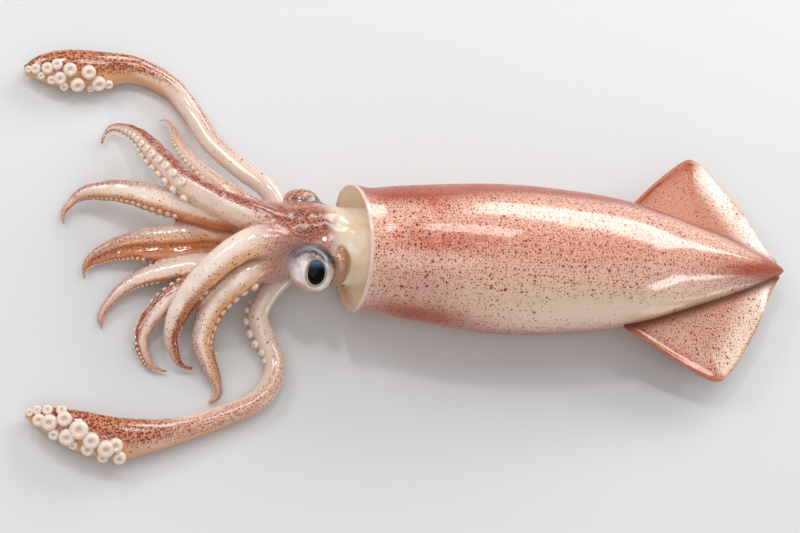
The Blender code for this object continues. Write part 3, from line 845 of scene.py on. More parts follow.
ORAL_SIDE = {
    # name: the way the suckers face at the root, the middle and the tip
    "arm_right_1": ((-0.2, -0.8, -0.1), (-0.5, -0.62, 0.45), (-0.3, -0.9, 0.2)),
    "arm_left_1": ((0.5, -0.7, -0.5), (0.85, -0.25, -0.35), (0.5, 0.7, -0.2)),
    "arm_right_2": ((-0.2, -0.4, -0.8), (-0.2, -0.4, -0.8), (-0.2, -0.4, -0.8)),
    "arm_left_2": ((0.8, -0.3, -0.3), (0.85, 0.0, -0.15), (-0.6, 0.4, -0.3)),
    "arm_right_3": ((-0.1, -0.9, -0.45), (-0.1, -0.9, -0.35), (0.8, -0.3, -0.2)),
    "arm_left_3": ((-0.5, -0.8, -0.4), (-0.85, -0.2, -0.4), (-0.3, -0.9, -0.3)),
    "arm_right_4": ((-0.1, -0.9, -0.4), (-0.1, -0.95, -0.25), (0.8, -0.3, -0.2)),
    "arm_left_4": ((0.1, -0.9, -0.45), (0.2, -0.9, -0.4), (0.75, -0.4, -0.2)),
}
FOLDS = (
    # A web of skin that runs beside an arm: its offset in mm at the middle, its share of the
    # radius, and the share of the arm where it ends
    ("arm_right_4", (0.5, -4.4, -1.6), 0.50, 1.0),
    ("arm_left_1", (3.6, -1.6, -3.4), 0.45, 1.0),
    ("arm_left_2", (5.6, 0.6, -4.2), 0.50, 1.0),
    ("arm_left_2", (-5.4, 0.6, -5.0), 0.50, 0.62),
    ("arm_right_3", (0.0, -3.2, -3.2), 0.40, 1.0),
    ("arm_left_3", (-2.6, -1.4, -2.2), 0.40, 1.0),
)
ARM_POINTS = 72
arm_lines = {name: smooth_line(guides, ARM_POINTS) * MM for name, guides in ARMS.items()}
fold_lines = []
for name, offset, share, end in FOLDS:
    line = arm_lines[name].copy()
    swell = np.sin(pi * np.minimum(np.linspace(0.02, 1, ARM_POINTS) / end, 0.999) ** 0.8) ** 0.7
    line[:, :3] += np.outer(swell, offset) * MM
    line[:, 2] = np.maximum(line[:, 2], 0.7 * MM)
    line[:, 3] = np.maximum(line[:, 3] * share, 0.4 * MM)
    fold_lines.append((name, line))
keeled = arm_lines["arm_right_4"]  # slimmer and higher in the middle, to show its web below
swell = np.sin(pi * np.linspace(0, 1, ARM_POINTS)) ** 0.7
keeled[:, :3] += np.outer(swell, (0, 1.8, 0.9)) * MM
keeled[:, 3] *= 1 - 0.26 * swell
for name, line in arm_lines.items():
    print(f"{name}: {line_steps(line)[-1] / MM:.0f} mm")


# %% Limbs from curves
def make_limb(name, line, sides):
    """A tube round a line of points, whose fourth column is its radius, as a closed mesh."""
    select_nothing()
    bpy.ops.curve.primitive_nurbs_path_add()
    limb = new_piece(name)
    curve = limb.data
    curve.splines.clear()
    spline = curve.splines.new("POLY")
    spline.points.add(len(line) - 1)
    for point, (x, y, z, radius) in zip(spline.points, line):
        point.co = (x, y, z, 1)
        point.radius = radius
    curve.bevel_depth = 1
    curve.bevel_resolution = sides // 2 - 2
    curve.use_fill_caps = True
    curve.dimensions = "3D"
    bpy.ops.object.convert(target="MESH")
    edit_all()
    close_mesh(merge=0.005 * MM)
    return limb


def turned_to(way):
    """The turn that brings +Z round to point a given way."""
    return Vector((0, 0, 1)).rotation_difference(Vector(way)).to_matrix().to_4x4()


def make_ball(name, centre, radii, looks=(0, 0, 1), segments=48):
    """A ball stretched to three half axes, in mm, its pole turned the way it looks."""
    select_nothing()
    bpy.ops.mesh.primitive_uv_sphere_add(segments=segments, ring_count=segments // 2, radius=1)
    size = Matrix.Diagonal((*[r * MM for r in radii], 1))
    place = Matrix.Translation(Vector(centre) * MM)
    bpy.context.object.matrix_world = place @ turned_to(looks) @ size
    return new_piece(name)


# %% Head shape
HEAD_SECTIONS = (
    # x, centre y and z, half width and half height, all in mm
    (-62.5, -1.5, 26.5, 14.0, 13.6), (-72, -0.8, 26.5, 15.0, 14.6), (-84, 0.0, 26.5, 15.6, 15.2),
    (-95, 1.6, 26.3, 14.9, 15.3), (-105, 4.0, 26.0, 13.4, 15.4), (-115, 3.0, 25.5, 14.4, 15.8),
    (-122, 2.2, 25.0, 15.8, 16.2), (-128, 2.0, 25.0, 14.6, 14.6), (-133, 2.0, 24.5, 9.0, 9.5),
)
head_rings = [tuple(row) for row in smooth_line(HEAD_SECTIONS, 30) * MM]
flesh = [draw_out("head_core", head_rings, sides=48)]
SWELLINGS = (
    # name, centre and half axes in mm
    ("near_orbit", (-104.6, -5.2, 23.6), (10.6, 10.4, 10.4)),
    ("near_lobe", (-98.3, -9.9, 31.4), (4.2, 8.0, 9.0)),
    ("near_cheek", (-118, -4.0, 27.0), (8.0, 9.0, 9.0)),
    ("far_orbit", (-106.5, 12.0, 26.0), (9.6, 9.8, 9.8)),
    ("far_brow", (-109.0, 17.6, 30.2), (7.4, 5.4, 5.6)),
    ("lobe_root", (-103.5, -3.6, 35.0), (6.0, 6.0, 5.6)),
    ("crown", (-122, 2.0, 30.0), (10, 9, 9.5)),
)
for name, centre, radii in SWELLINGS:
    flesh.append(make_ball(name, centre, radii))
for name, line in arm_lines.items():
    flesh.append(make_limb(name + "_flesh", line, sides=14))
for name, line in fold_lines:
    flesh.append(make_limb(name + "_fold", line, sides=10))
print("shapes to fuse:", len(flesh))

# %% Fuse
EYES = {
    # name: centre and radius in mm, the way it looks, the middle of its lids and half their opening
    "eye_left": ((-106.2, -8.8, 25.6), 8.9, (-0.13, -0.55, 0.80), (-0.35, -0.48, 0.80), 84),
    "eye_right": ((-106.4, 14.8, 25.8), 8.2, (0.05, 0.90, 0.43), (0.10, 0.98, -0.05), 58),
}
VOXEL = 0.62 * MM
body = join("head_and_arms", flesh)
body.data.remesh_voxel_size = VOXEL
body.data.remesh_voxel_adaptivity = 0
select_only(body)
bpy.ops.object.voxel_remesh()
print("fused skin:", len(body.data.polygons), "faces")

# %% Relax the crown
WAVE_HEIGHT, WAVE_SIZE = 0.8 * MM, 6 * MM  # soft unevenness of the flesh
RELAX = ((-300, 3), (-144, 7), (-130, 8))  # from which x in mm, and how many rounds


def soften(obj, points_wanted, rounds):
    """Smooths the chosen vertices in edit mode, half way to their neighbours each round."""
    select_only(obj)
    bpy.ops.object.mode_set(mode="EDIT")
    bpy.ops.mesh.select_mode(type="VERT")
    bpy.ops.mesh.select_all(action="DESELECT")
    bpy.ops.object.mode_set(mode="OBJECT")
    obj.data.vertices.foreach_set("select", np.asarray(points_wanted, bool))
    bpy.ops.object.mode_set(mode="EDIT")
    bpy.ops.mesh.vertices_smooth(factor=0.5, repeat=rounds)
    bpy.ops.object.mode_set(mode="OBJECT")


body_points = points_of(body)
for start, rounds in RELAX:
    soften(body, body_points[:, 0] > start * MM, rounds)
waves = bpy.data.textures.new("flesh_waves", "CLOUDS")
waves.noise_scale, waves.noise_depth = WAVE_SIZE, 1
apply_modifier(body, "DISPLACE", texture=waves, strength=WAVE_HEIGHT, mid_level=0.5)
print("relaxed skin:", len(body.data.vertices), "points")


# %% Open the lids
LID_LIFT, UNDER_BALL, LID_REACH = 0.4, 1.5, 9  # in mm


def open_lids(points, centre, radius, middle, opening):
    """Lowers the skin that lies over an eyeball: to just below the ball inside the lids, and
    outside them to a bank that climbs away, steepest at the back where a fold hugs the ball."""
    way = np.array(Vector(middle).normalized())
    offset = points / MM - centre
    height = offset @ way
    sideways = offset - np.outer(height, way)
    spread = np.linalg.norm(sideways, axis=1)
    lid = radius * sin(radians(opening))
    steep = 4.0 + 2 * rise(sideways[:, 0] / np.maximum(spread, 1e-6), 0.4, 0.8)
    beyond = np.maximum(spread - lid, 0)
    bank = radius * cos(radians(opening)) + LID_LIFT + steep * beyond + 0.15 * beyond**2
    sunk = np.sqrt(np.maximum(radius**2 - spread**2, 0)) - UNDER_BALL
    most = np.where(spread < lid, sunk, bank)
    lowered = (spread < lid + LID_REACH) & (height > most)
    opened = np.array(centre) + sideways + np.outer(most, way)
    return np.where(lowered[:, None], opened * MM, points), lowered


body_points = points_of(body)
lids = np.zeros(len(body_points), bool)
for centre, radius, _, middle, opening in EYES.values():
    body_points, lowered = open_lids(body_points, centre, radius, middle, opening)
    lids |= lowered
move_points(body, body_points)
soften(body, lids, 1)
print("points moved by the lids:", int(lids.sum()))

# %% [markdown]
# A squid's arm isn't round: the side with the suckers is flatter and has a low ridge on each
# edge. For every vertex the nearest arm is found, with how far along it lies and which way it
# faces. Those numbers reshape the arms here, and later colour the skin and place the suckers.

# %% Which arm each point belongs to
def frames_along(line, sides):
    """Tangents and oral directions along a line, the oral ones square to the tangents."""
    tangents = unit(np.gradient(line[:, :3], axis=0))
    steps = np.linspace(0, 1, len(line))
    columns = np.array(sides, float).T
    oral = np.stack([np.interp(steps, (0, 0.5, 1), column) for column in columns], axis=1)
    return tangents, unit(oral - tangents * (oral * tangents).sum(axis=1, keepdims=True))


arm_frames = {name: frames_along(arm_lines[name], ORAL_SIDE[name]) for name in ARMS}
body_points = points_of(body)
count = len(body_points)
owner_gap, other_gap = np.full(count, np.inf), np.full(count, np.inf)
along, facing, owner = np.zeros(count), np.zeros(count), np.zeros(count, int)
centre_line, radius_here = np.zeros((count, 3)), np.zeros(count)
for number, (name, line) in enumerate(arm_lines.items()):
    index, gap = nearest_on(line, body_points)
    closer = gap < owner_gap
    other_gap = np.minimum(other_gap, np.maximum(gap, owner_gap))
    cosine = (unit(body_points - line[index, :3]) * arm_frames[name][1][index]).sum(axis=1)
    owner_gap[closer], owner[closer] = gap[closer], number
    along[closer], facing[closer] = index[closer] / (ARM_POINTS - 1), cosine[closer]
    centre_line[closer], radius_here[closer] = line[index, :3][closer], line[index, 3][closer]
fold = np.zeros(count)
for name, line in fold_lines:
    index, gap = nearest_on(line, body_points)
    share = index / (ARM_POINTS - 1)
    middle_part = rise(share, 0.12, 0.3) * (1 - rise(share, 0.85, 1))
    fold = np.maximum(fold, (gap < owner_gap - 0.05 * MM) * middle_part)
in_arm = 1 - rise(body_points[:, 0], -139 * MM, -121 * MM)
print("points on arms:", int((in_arm > 0.5).sum()), "of", count)

# %% Flatten the sucker side
RIDGE, HOLLOW = 0.07, -0.10  # shares of the arm's radius
ridge = rise(facing, 0.05, 0.4) * (1 - rise(facing, 0.4, 0.75))
change = (HOLLOW * rise(facing, 0.55, 0.95) + RIDGE * ridge) * in_arm * (1 - rise(along, 0.85, 1))
change *= radius_here
body_points += unit(body_points - centre_line) * change[:, None]
print("hollow and ridge, mm:", round(change.min() / MM, 2), round(change.max() / MM, 2))
body_points[:, 2] = np.maximum(body_points[:, 2], ABOVE_TABLE)
move_points(body, body_points)
smooth_shading(body)
head_line = np.array([(x, y, z, (wide + high) / 2) for x, y, z, wide, high in head_rings])
layouts = [layout_round(head_line, np.array((0.0, 0.0, 1.0)), body_points)]
for name, line in [*arm_lines.items(), *fold_lines]:
    layouts.append(layout_round(line, -arm_frames[name][1], body_points))
unwrap(body, layouts)

# %% Head and arm colour map
x_mm, y_mm, z_mm = (body_points / MM).T
SIDES = {
    # name: the way the dark stripe faces, its strength at the root and the tip, the tan side
    # that also carries painted shade, and how orange the sucker side is
    "arm_right_1": ((0.50, 0.69, 0.53), 1.0, 1.0, (-0.1, -0.8, -0.6), 0.12),
    "arm_left_1": ((0.80, -0.45, 0.20), 0.0, 0.9, (0.75, -0.56, -0.1), 0.90),
    "arm_right_2": ((0.60, 0.65, 0.45), 0.35, 0.3, (0.3, -0.6, 0.4), 0.70),
    "arm_left_2": ((-0.85, 0.2, 0.1), 0.0, 0.5, (0.75, -0.5, -0.2), 1.00),
    "arm_right_3": ((0.0, 0.9, 0.3), 0.1, 0.6, (0.1, -0.8, -0.45), 0.80),
    "arm_left_3": ((-0.84, 0.30, 0.1), 0.7, 1.0, (0.6, -0.5, -0.6), 0.80),
    "arm_right_4": ((-0.2, 0.5, 0.8), 0.08, 0.45, (0.0, -0.85, -0.1), 0.80),
    "arm_left_4": ((-0.3, 0.8, 0.2), 0.0, 0.4, (0.15, -0.8, -0.45), 0.80),
}
outward = unit(body_points - centre_line)
stripe_way, root_strength, tip_strength, warm_way, oral_tint = (
    np.array(column)[owner] for column in zip(*(SIDES[name] for name in ARMS)))
stripe = rise((outward * stripe_way).sum(axis=1), 0.2, 0.6) * (1 - rise(x_mm, -124, -114))
stripe *= root_strength + (tip_strength - root_strength) * rise(along, 0.35, 0.8)
# Each arm's lower side is tan: partly its own colour, partly painted shade where it turns from the
# light.
warm = rise((outward * warm_way).sum(axis=1), -0.35, 0.7) * in_arm
LOBE_MIDDLE, LOBE_HALF = SWELLINGS[1][1:]
lobe_share = np.linalg.norm((body_points / MM - LOBE_MIDDLE) / np.array(LOBE_HALF), axis=1)
lobe = 1 - rise(lobe_share, 1.02, 1.2)
neck = rise(x_mm, -105, -97) * (1 - lobe)


def spot(x, y, z, reach):
    return np.exp(-(((x_mm - x) ** 2 + (y_mm - y) ** 2 + (z_mm - z) ** 2) / reach**2))


def near_line(corners, reach):
    """Soft mask round a line through a few corners, in mm."""
    path = smooth_line([(*corner, 0) for corner in corners], 30)[:, :3]
    gap = np.linalg.norm((body_points / MM)[:, None] - path[None], axis=2).min(axis=1)
    return np.exp(-(gap / reach) ** 2)


FAR_SLIT = (
    (-114, 17.5, 34), (-111, 16.5, 35), (-106.5, 16, 35.5), (-103, 15.5, 34.5), (-100, 14.5, 35))
slit = near_line(FAR_SLIT, 0.8)
teal = near_line(((-105.5, 17.5, 35), (-102, 17, 34.5), (-99, 16.5, 33)), 1.7)
glint = near_line(((-110, 17.8, 35), (-106, 17.2, 35.2), (-102, 16.2, 34.9)), 0.6)
neck = neck * (1 - teal) * (1 - spot(-100, 17, 31, 7))
centre, radius, _, middle, opening = EYES["eye_left"]
way = np.array(Vector(middle).normalized())
offset = body_points / MM - np.array(centre)
from_axis = np.linalg.norm(offset - np.outer(offset @ way, way), axis=1)
from_lid = from_axis - radius * sin(radians(opening))
under = rise(-z_mm, -16, -6) * (1 - in_arm)
arm_dots = 0.03 + 0.6 * warm * (0.2 + 0.8 * oral_tint) * rise(along, 0.1, 0.5)
arm_dots += (0.06 + 0.5 * warm * oral_tint) * rise(along, 0.45, 0.95)
dots = 0.85 * (1 - in_arm) * (1 - neck) + arm_dots * in_arm + 0.8 * stripe
paint(
    body, neck=neck, arm=in_arm, fold=fold, dark=stripe, glint=glint,
    warm=np.maximum(warm * np.sqrt(oral_tint), rise(facing, 0.0, 0.7) * in_arm * oral_tint),
    # gap and edge are painted shade: between the roots of neighbouring arms, and along the edges of
    # the sucker sides.
    gap=(1 - rise(other_gap, 0.1 * MM, 2.2 * MM)) * (1 - rise(x_mm, -134, -122)),
    edge=rise(facing, 0.35, 0.8) * oral_tint * in_arm,
    tip=rise(along, 0.6, 0.98) * in_arm,
    crest=spot(-116, 4, 41, 6.5) + 0.75 * spot(-109, 5, 41, 6.5) + 0.3 * spot(-104, 4, 41, 6),
    purple=spot(-117.5, -7.5, 37.5, 4.5) + 0.6 * spot(-113, -14, 31, 3.5),
    gold=0.8 * spot(-110, 20, 33, 6.5) * (1 - slit),
    slit=np.maximum(slit, teal),
    # painted shade in the crease between the lobe behind the eye and the neck
    crease=np.exp(-(((lobe_share - 1.17) / 0.07) ** 2)) * rise(x_mm, -99, -97),
    tan=np.maximum(0.85 * lobe, 0.5 * spot(-124, -10, 31, 6)),
    # The lid round the near eye is painted silver, pale enough to light its shaded wall as painted
    # light.
    silver=(1 - rise(from_lid, 0.3, 1.1)) * rise(offset[:, 1], -4, 1)
    * (1 - rise(x_mm, -104, -100)),
    dots=dots * (1 - 0.6 * under) * (1 - 0.6 * lobe),
)
print("masks on the head and arms:", len(body.data.attributes))

# %% Head and arm material
CREAM, ORANGE_TAN = (241, 221, 206), (234, 158, 84)
head_skin, tree, shader = new_material("head_and_arm_skin")
dark, crest = painted(tree, "dark"), painted(tree, "crest")
patch = use_group(tree, MOTTLE, Patch=2.4, Low=0.42, High=0.6)["Mask"]
stripe = times(tree, dark, plus(tree, times(tree, patch, 0.3), 0.7))
coarse = use_group(tree, DOTS, Spacing=1.05, Radius=0.46, Density=0.95, Shift=(5.0, 2.0, 0.0))
fine = use_group(tree, DOTS, Spacing=1.1, Radius=0.50, Density=0.96, Shift=(3.0, 1.0, 0.0))
crest_cells = times(tree, fine["Core"], maths(tree, "MULTIPLY", crest, 1.3, clamp=True))
colour = glaze(
    # ORANGE_TAN on the arms' lower sides is partly their own tan and partly painted shade.
    tree, tone(188, 136, 120), ("arm", 1, CREAM), ("warm", 0.92, ORANGE_TAN),
    # edge and gap lay painted shade along the sucker sides and between the arm roots.
    ("fold", 0.8, (190, 108, 46)), ("edge", 0.8, (202, 114, 50)), ("gap", 0.9, (150, 76, 26)),
    ("tip", 0.6, (180, 100, 54)), (stripe, 1, (172, 70, 32)),
    (times(tree, coarse["Core"], times(tree, dark, 0.9)), 1, (104, 26, 12)),
    (crest, 0.75, (182, 104, 72)), (crest_cells, 1, (92, 20, 8)),
    ("purple", 0.7, (116, 92, 112)), ("tan", 1, (166, 118, 80)), ("gold", 1, (190, 140, 92)),
    # The crease tone is painted shade between the lobe and the neck.
    ("slit", 1, (34, 40, 44)), ("glint", 0.45, (206, 206, 204)), ("crease", 0.9, (104, 64, 36)),
)
colour = dotted(tree, colour, painted(tree, "dots"), (
    (0.9, 0.16, 1.0, 3.7, (150, 66, 40), (206, 124, 84), 0.2),
    (1.15, 0.23, 1.0, 8.3, (112, 30, 14), (194, 98, 56), 0.3),
    (2.1, 0.29, 0.35, 1.3, (90, 18, 8), (184, 84, 46), 0.3),
))
clouds = use_group(tree, MOTTLE, Patch=9.0, Low=0.45, High=0.7)["Mask"]
soft_neck = over(tree, clouds, tone(240, 224, 204), tone(236, 210, 170))
# The silver lid is the eye's own silver arc, painted pale over the shaded pit wall as painted
# light.
colour = glaze(tree, colour, ("silver", 0.85, (214, 208, 212)))
colour = over(tree, painted(tree, "neck"), colour, soft_neck)
wet_finish(tree, shader, colour, grain=3.2, folds=1.2, coat_roughness=0.15, bump=0.6)
finish_piece(body, head_skin, "head_skin", "head", *ARMS)

# %% [markdown]
# ## Tentacles
# The two tentacles are longer than the arms: bare round stalks that end in flattened clubs. They
# are tubes too, and the club is pressed flat across the side that carries its big suckers.

# %% Tentacle shapes
TENTACLES = {
    # name: share where the club begins, guide points x, y, z and radius in mm
    "tentacle_right": (0.66, (
        (-108, 8, 17, 4.4), (-112, 14, 17, 4.3), (-117, 28, 18, 4.1), (-126, 39, 14, 4.0),
        (-135, 53, 8.5, 4.0), (-140, 67, 5.2, 4.1), (-148, 79, 4.6, 4.5), (-162, 85.5, 5.4, 5.4),
        (-176, 84.6, 6.6, 7.0), (-190, 84, 6.6, 7.7), (-200, 84.4, 5.4, 5.5),
        (-206.5, 84, 3.6, 2.0))),
    "tentacle_left": (0.73, (
        (-109, -1, 15, 4.4), (-113, -6, 14, 4.3), (-120, -13, 12, 4.1), (-124, -21, 8, 4.0),
        (-121, -30, 5, 4.0), (-118, -41, 4.2, 4.1), (-126, -54, 4.4, 4.2), (-144, -62, 4.4, 4.3),
        (-164, -68, 5.2, 5.4), (-184, -71, 6.6, 7.9), (-198, -68, 6.4, 7.6),
        (-210, -62.6, 4.8, 4.9), (-217.5, -59.4, 3.4, 1.8))),
}
BAND_WAY = {"tentacle_right": (0.35, 0.75, 0.56), "tentacle_left": (0.1, -0.3, 0.95)}
CLUB_FLATNESS = 0.62
CLUB_LEAN = radians(22)  # the sucker side leans from upright towards the viewer's side
club_up = Vector((0, -sin(CLUB_LEAN), cos(CLUB_LEAN)))
TENTACLE_POINTS = 150
tentacles = {}
for name, (club_start, guides) in TENTACLES.items():
    line = smooth_line(guides, TENTACLE_POINTS) * MM
    limb = make_limb(name + "_skin", line, sides=28)
    points = points_of(limb)
    index, _ = nearest_on(line, points)
    along_it = index / (TENTACLE_POINTS - 1)
    club = rise(along_it, club_start - 0.06, club_start + 0.1)
    offset = points - line[index, :3]
    height = offset @ np.array(club_up)
    points -= np.outer(height * (1 - CLUB_FLATNESS) * club, club_up)
    points[:, 2] = np.maximum(points[:, 2], ABOVE_TABLE)
    move_points(limb, points)
    outward = unit(offset)
    band = rise(outward @ np.array(BAND_WAY[name]), 0.55, 0.85) * rise(along_it, 0.12, 0.5)
    near_club = rise(along_it, club_start - 0.14, club_start + 0.02)
    cells = rise(outward @ np.array((0.1, 0.72, 0.68)), -0.1, 0.35) * near_club
    # The stalk's lower side is orange-tan: partly its own colour, partly painted shade.
    below = rise(outward @ np.array((0.0, -0.85, -0.53)), 0.1, 0.75)
    paint(
        limb, oral=club, cells=cells, back=band * (1 - near_club) + cells,
        under=below * rise(along_it, 0.1, 0.5),
    )
    smooth_shading(limb)
    unwrap(limb, [layout_round(line, np.array((0.0, 0.0, 1.0)), points)])
    tentacles[name] = limb
    print(f"{name}: {line_steps(line)[-1] / MM:.0f} mm")

# %% Tentacle material
tentacle_skin, tree, shader = new_material("tentacle_skin")
patch = use_group(tree, MOTTLE, Patch=2.2, Low=0.42, High=0.6)["Mask"]
back, cells = painted(tree, "back"), painted(tree, "cells")
coarse = use_group(tree, DOTS, Spacing=1.35, Radius=0.60, Density=0.88, Shift=(2.0, 7.0, 0.0))
colour = glaze(
    # The lower side's orange-tan is partly painted shade.
    tree, tone(231, 207, 190), ("under", 1, (218, 146, 92)), ("oral", 1, (218, 164, 116)),
    (times(tree, back, plus(tree, times(tree, patch, 0.4), 0.3)), 1, (204, 116, 76)),
    (cells, 0.6, (206, 126, 84)), (times(tree, coarse["Core"], cells), 1, (86, 22, 8)),
)
density = plus(tree, times(tree, back, 0.95), 0.02)
colour = dotted(tree, colour, density, (
    (0.85, 0.17, 1.0, 2.3, (156, 70, 44), (206, 124, 88), 0.2),
    (1.2, 0.24, 0.95, 6.1, (116, 32, 12), (198, 102, 60), 0.3),
    (2.2, 0.33, 0.3, 4.7, (80, 20, 10), (190, 98, 64), 0.3),
))
wet_finish(tree, shader, colour, grain=1.6, folds=0.8)
for name, limb in tentacles.items():
    finish_piece(limb, tentacle_skin, "tentacle_skin", name)

# %% [markdown]
# ## Suckers
# A sucker is a soft cup on a short stalk, with a rounded rim and a dimple. Two are modelled:
# a plain one for the arms, where there are hundreds, and a finer one for the clubs. Each begins
# as a disc that is extruded and resized up the outside, over the rim and down into the cup.

# %% Sucker shapes
ARM_CUP = (
    # radius and height for a sucker of radius 1
    (0.66, -0.5), (0.92, 0.10), (1.0, 0.48), (0.84, 0.84), (0.50, 0.98), (0.26, 0.84),
    (0.06, 0.80),
)
CLUB_CUP = (
    (0.60, -0.8), (0.70, -0.4), (0.90, -0.05), (1.0, 0.34), (0.98, 0.60), (0.88, 0.84),
    (0.72, 0.98), (0.54, 1.04), (0.40, 1.00), (0.30, 0.90), (0.22, 0.82), (0.12, 0.80),
    (0.04, 0.80),
)


def make_cup(name, outline, sides):
    """A cup extruded from a disc through an outline of radii and heights."""
    select_nothing()
    bpy.ops.mesh.primitive_circle_add(
        vertices=sides, radius=outline[0][0], fill_type="NGON", location=(0, 0, outline[0][1])
    )
    cup = new_piece(name)
    edit_all()
    for before, step in zip(outline, outline[1:]):
        bpy.ops.mesh.extrude_region()
        bpy.ops.transform.translate(value=(0, 0, step[1] - before[1]))
        grow = step[0] / before[0]
        bpy.ops.transform.resize(value=(grow, grow, 1), center_override=(0, 0, step[1]))
    close_mesh()
    bpy.ops.object.shade_smooth()
    x, y, z = points_of(cup).T
    dimple = (1 - rise(np.hypot(x, y), 0.12, 0.42)) * rise(z, 0.3, 0.5)
    paint(cup, cup=dimple, stalk=1 - rise(z, -0.3, 0.45))
    return cup


arm_cup = make_cup("arm_cup", ARM_CUP, sides=9)
club_cup = make_cup("club_cup", CLUB_CUP, sides=22)
print("faces per sucker:", len(arm_cup.data.polygons), len(club_cup.data.polygons))


def place_cup(cup, spot, out, radius, height=1.0):
    """A copy of a cup with its own mesh, standing at a spot and opening along out."""
    copy = cup.copy()
    copy.data = cup.data.copy()
    bpy.context.scene.collection.objects.link(copy)
    size = Matrix.Diagonal((radius, radius, radius * height, 1))
    copy.data.transform(Matrix.Translation(spot) @ turned_to(out) @ size)
    return copy


# %% Rows along the arms
ARM_ROWS = {
    # name: share of the arm where the rows begin, degrees between a row and the middle, cup share,
    # and how tan the suckers are
    "arm_right_1": (0.40, 34, 0.37, 0.0),
    "arm_left_1": (0.50, 32, 0.24, 0.6),
    "arm_right_2": (0.26, 78, 0.42, 0.3),
    "arm_left_2": (0.22, 34, 0.36, 0.6),
    "arm_right_3": (0.40, 32, 0.20, 0.7),
    "arm_left_3": (0.40, 32, 0.26, 0.3),
    "arm_right_4": (0.38, 30, 0.34, 0.8),
    "arm_left_4": (0.36, 32, 0.22, 0.7),
}
BARE_TIP, SMALLEST_CUP = 3 * MM, 0.38 * MM
CUP_STEP = 1.35  # from one sucker to the next, in sucker radii
row_lines = dict(arm_lines)
row_lines["arm_right_4"] = fold_lines[0][1]  # the web below this arm carries its suckers
body_tree = BVHTree.FromObject(body, bpy.context.evaluated_depsgraph_get())
arm_suckers = {}
for name, line in row_lines.items():
    tangents, oral = arm_frames[name]
    steps, count = line_steps(line), np.arange(len(line))
    start, row_angle, cup_share, tan_tint = ARM_ROWS[name]
    copies, distance, row = [], start * steps[-1], 0
    while distance < steps[-1] - BARE_TIP:
        place = np.interp(distance, steps, count)
        *centre, radius = [np.interp(place, count, column) for column in line.T]
        centre, facing_way = Vector(centre), Vector(oral[round(place)])
        across = Vector(tangents[round(place)]).cross(facing_way)
        lean = radians(row_angle if row % 2 else -row_angle)
        out = (facing_way * cos(lean) + across * sin(lean)).normalized()
        hit, _, _, _ = body_tree.ray_cast(centre + out * radius * 2.5, -out)
        cup_radius = max(cup_share * radius, SMALLEST_CUP)
        if hit is not None and (hit - centre).length < 1.9 * radius + 0.4 * MM:
            copies.append(place_cup(arm_cup, hit, out, cup_radius))
        distance += cup_radius * CUP_STEP
        row += 1
    arm_suckers[name] = join(name + "_suckers", copies)
    paint(arm_suckers[name], tan=tan_tint)
    print(name, "suckers:", len(copies))

# %% Clusters on the clubs
CLUB_CUPS = {
    # name: x, y and z of each sucker's foot and its radius, in mm
    "tentacle_right": (
        (-205.5, 83.5, 6, 1.3), (-203, 83, 7.5, 1.9), (-199, 82.5, 9.5, 2.2),
        (-195.5, 83.5, 11, 2.1), (-190.5, 81.5, 11, 2.6), (-183, 81, 10.5, 2.7),
        (-194, 79, 8.5, 2.4), (-187, 77, 7.5, 2.7), (-178.5, 78, 7.5, 2.8), (-197, 79, 7, 1.7),
        (-192, 77, 6, 1.7), (-181, 77, 5, 1.5), (-201, 80.5, 7, 1.5), (-174, 78, 6.5, 1.7)),
    "tentacle_left": (
        (-217, -60, 6, 1.5), (-214.5, -59.5, 7.5, 1.7), (-211, -60, 9, 1.9),
        (-206, -60.5, 10.5, 1.9), (-214, -63.5, 7, 2.3), (-210.5, -65, 8.5, 2.9),
        (-205.5, -64.5, 11, 2.7), (-200.5, -69, 11.5, 3.4), (-204.5, -71, 9, 2.9),
        (-209, -69.5, 7, 2.0), (-196, -73, 10.5, 3.0), (-197, -75.5, 8.5, 2.4),
        (-190.5, -76, 10, 3.1), (-191, -78, 7, 2.1), (-187, -75, 11, 2.6),
        (-185, -78.5, 7.5, 2.4), (-202, -73.5, 7.5, 1.7)),
}
STALK_CUPS = (
    (-126, -15.5, 8.5, 0.9), (-127.5, -18.5, 7.5, 1.2), (-127.5, -22.5, 6, 1.5),
    (-126, -27, 5, 1.7), (-124.5, -31.5, 5, 1.6), (-123, -35.5, 5.5, 1.2),
    (-122, -38.5, 4.5, 0.9),
)
CUP_GROWTH, CUP_HEIGHT = 1.08, 1.1
CLUB_LOOK, STALK_LOOK = Vector((-0.25, -0.6, 0.8)), Vector((-0.9, -0.3, 0.3))


def stand_cups(limb, rows, look):
    """Stands a sucker on the skin nearest to each place, turned part of the way to look."""
    limb_tree = BVHTree.FromObject(limb, bpy.context.evaluated_depsgraph_get())
    copies = []
    for x, y, z, radius in rows:
        foot, normal, _, _ = limb_tree.find_nearest(Vector((x, y, z)) * MM)
        out = (normal + look).normalized()
        copies.append(place_cup(club_cup, foot, out, CUP_GROWTH * radius * MM, CUP_HEIGHT))
    return copies


club_suckers = {}
for name, rows in CLUB_CUPS.items():
    copies = stand_cups(tentacles[name], rows, CLUB_LOOK)
    if name == "tentacle_left":
        copies += stand_cups(tentacles[name], STALK_CUPS, STALK_LOOK)
    club_suckers[name] = join(name + "_suckers", copies)
    paint(club_suckers[name], tan=0)
    print(name, "suckers:", len(copies))
for cup in (arm_cup, club_cup):
    bpy.data.objects.remove(cup)

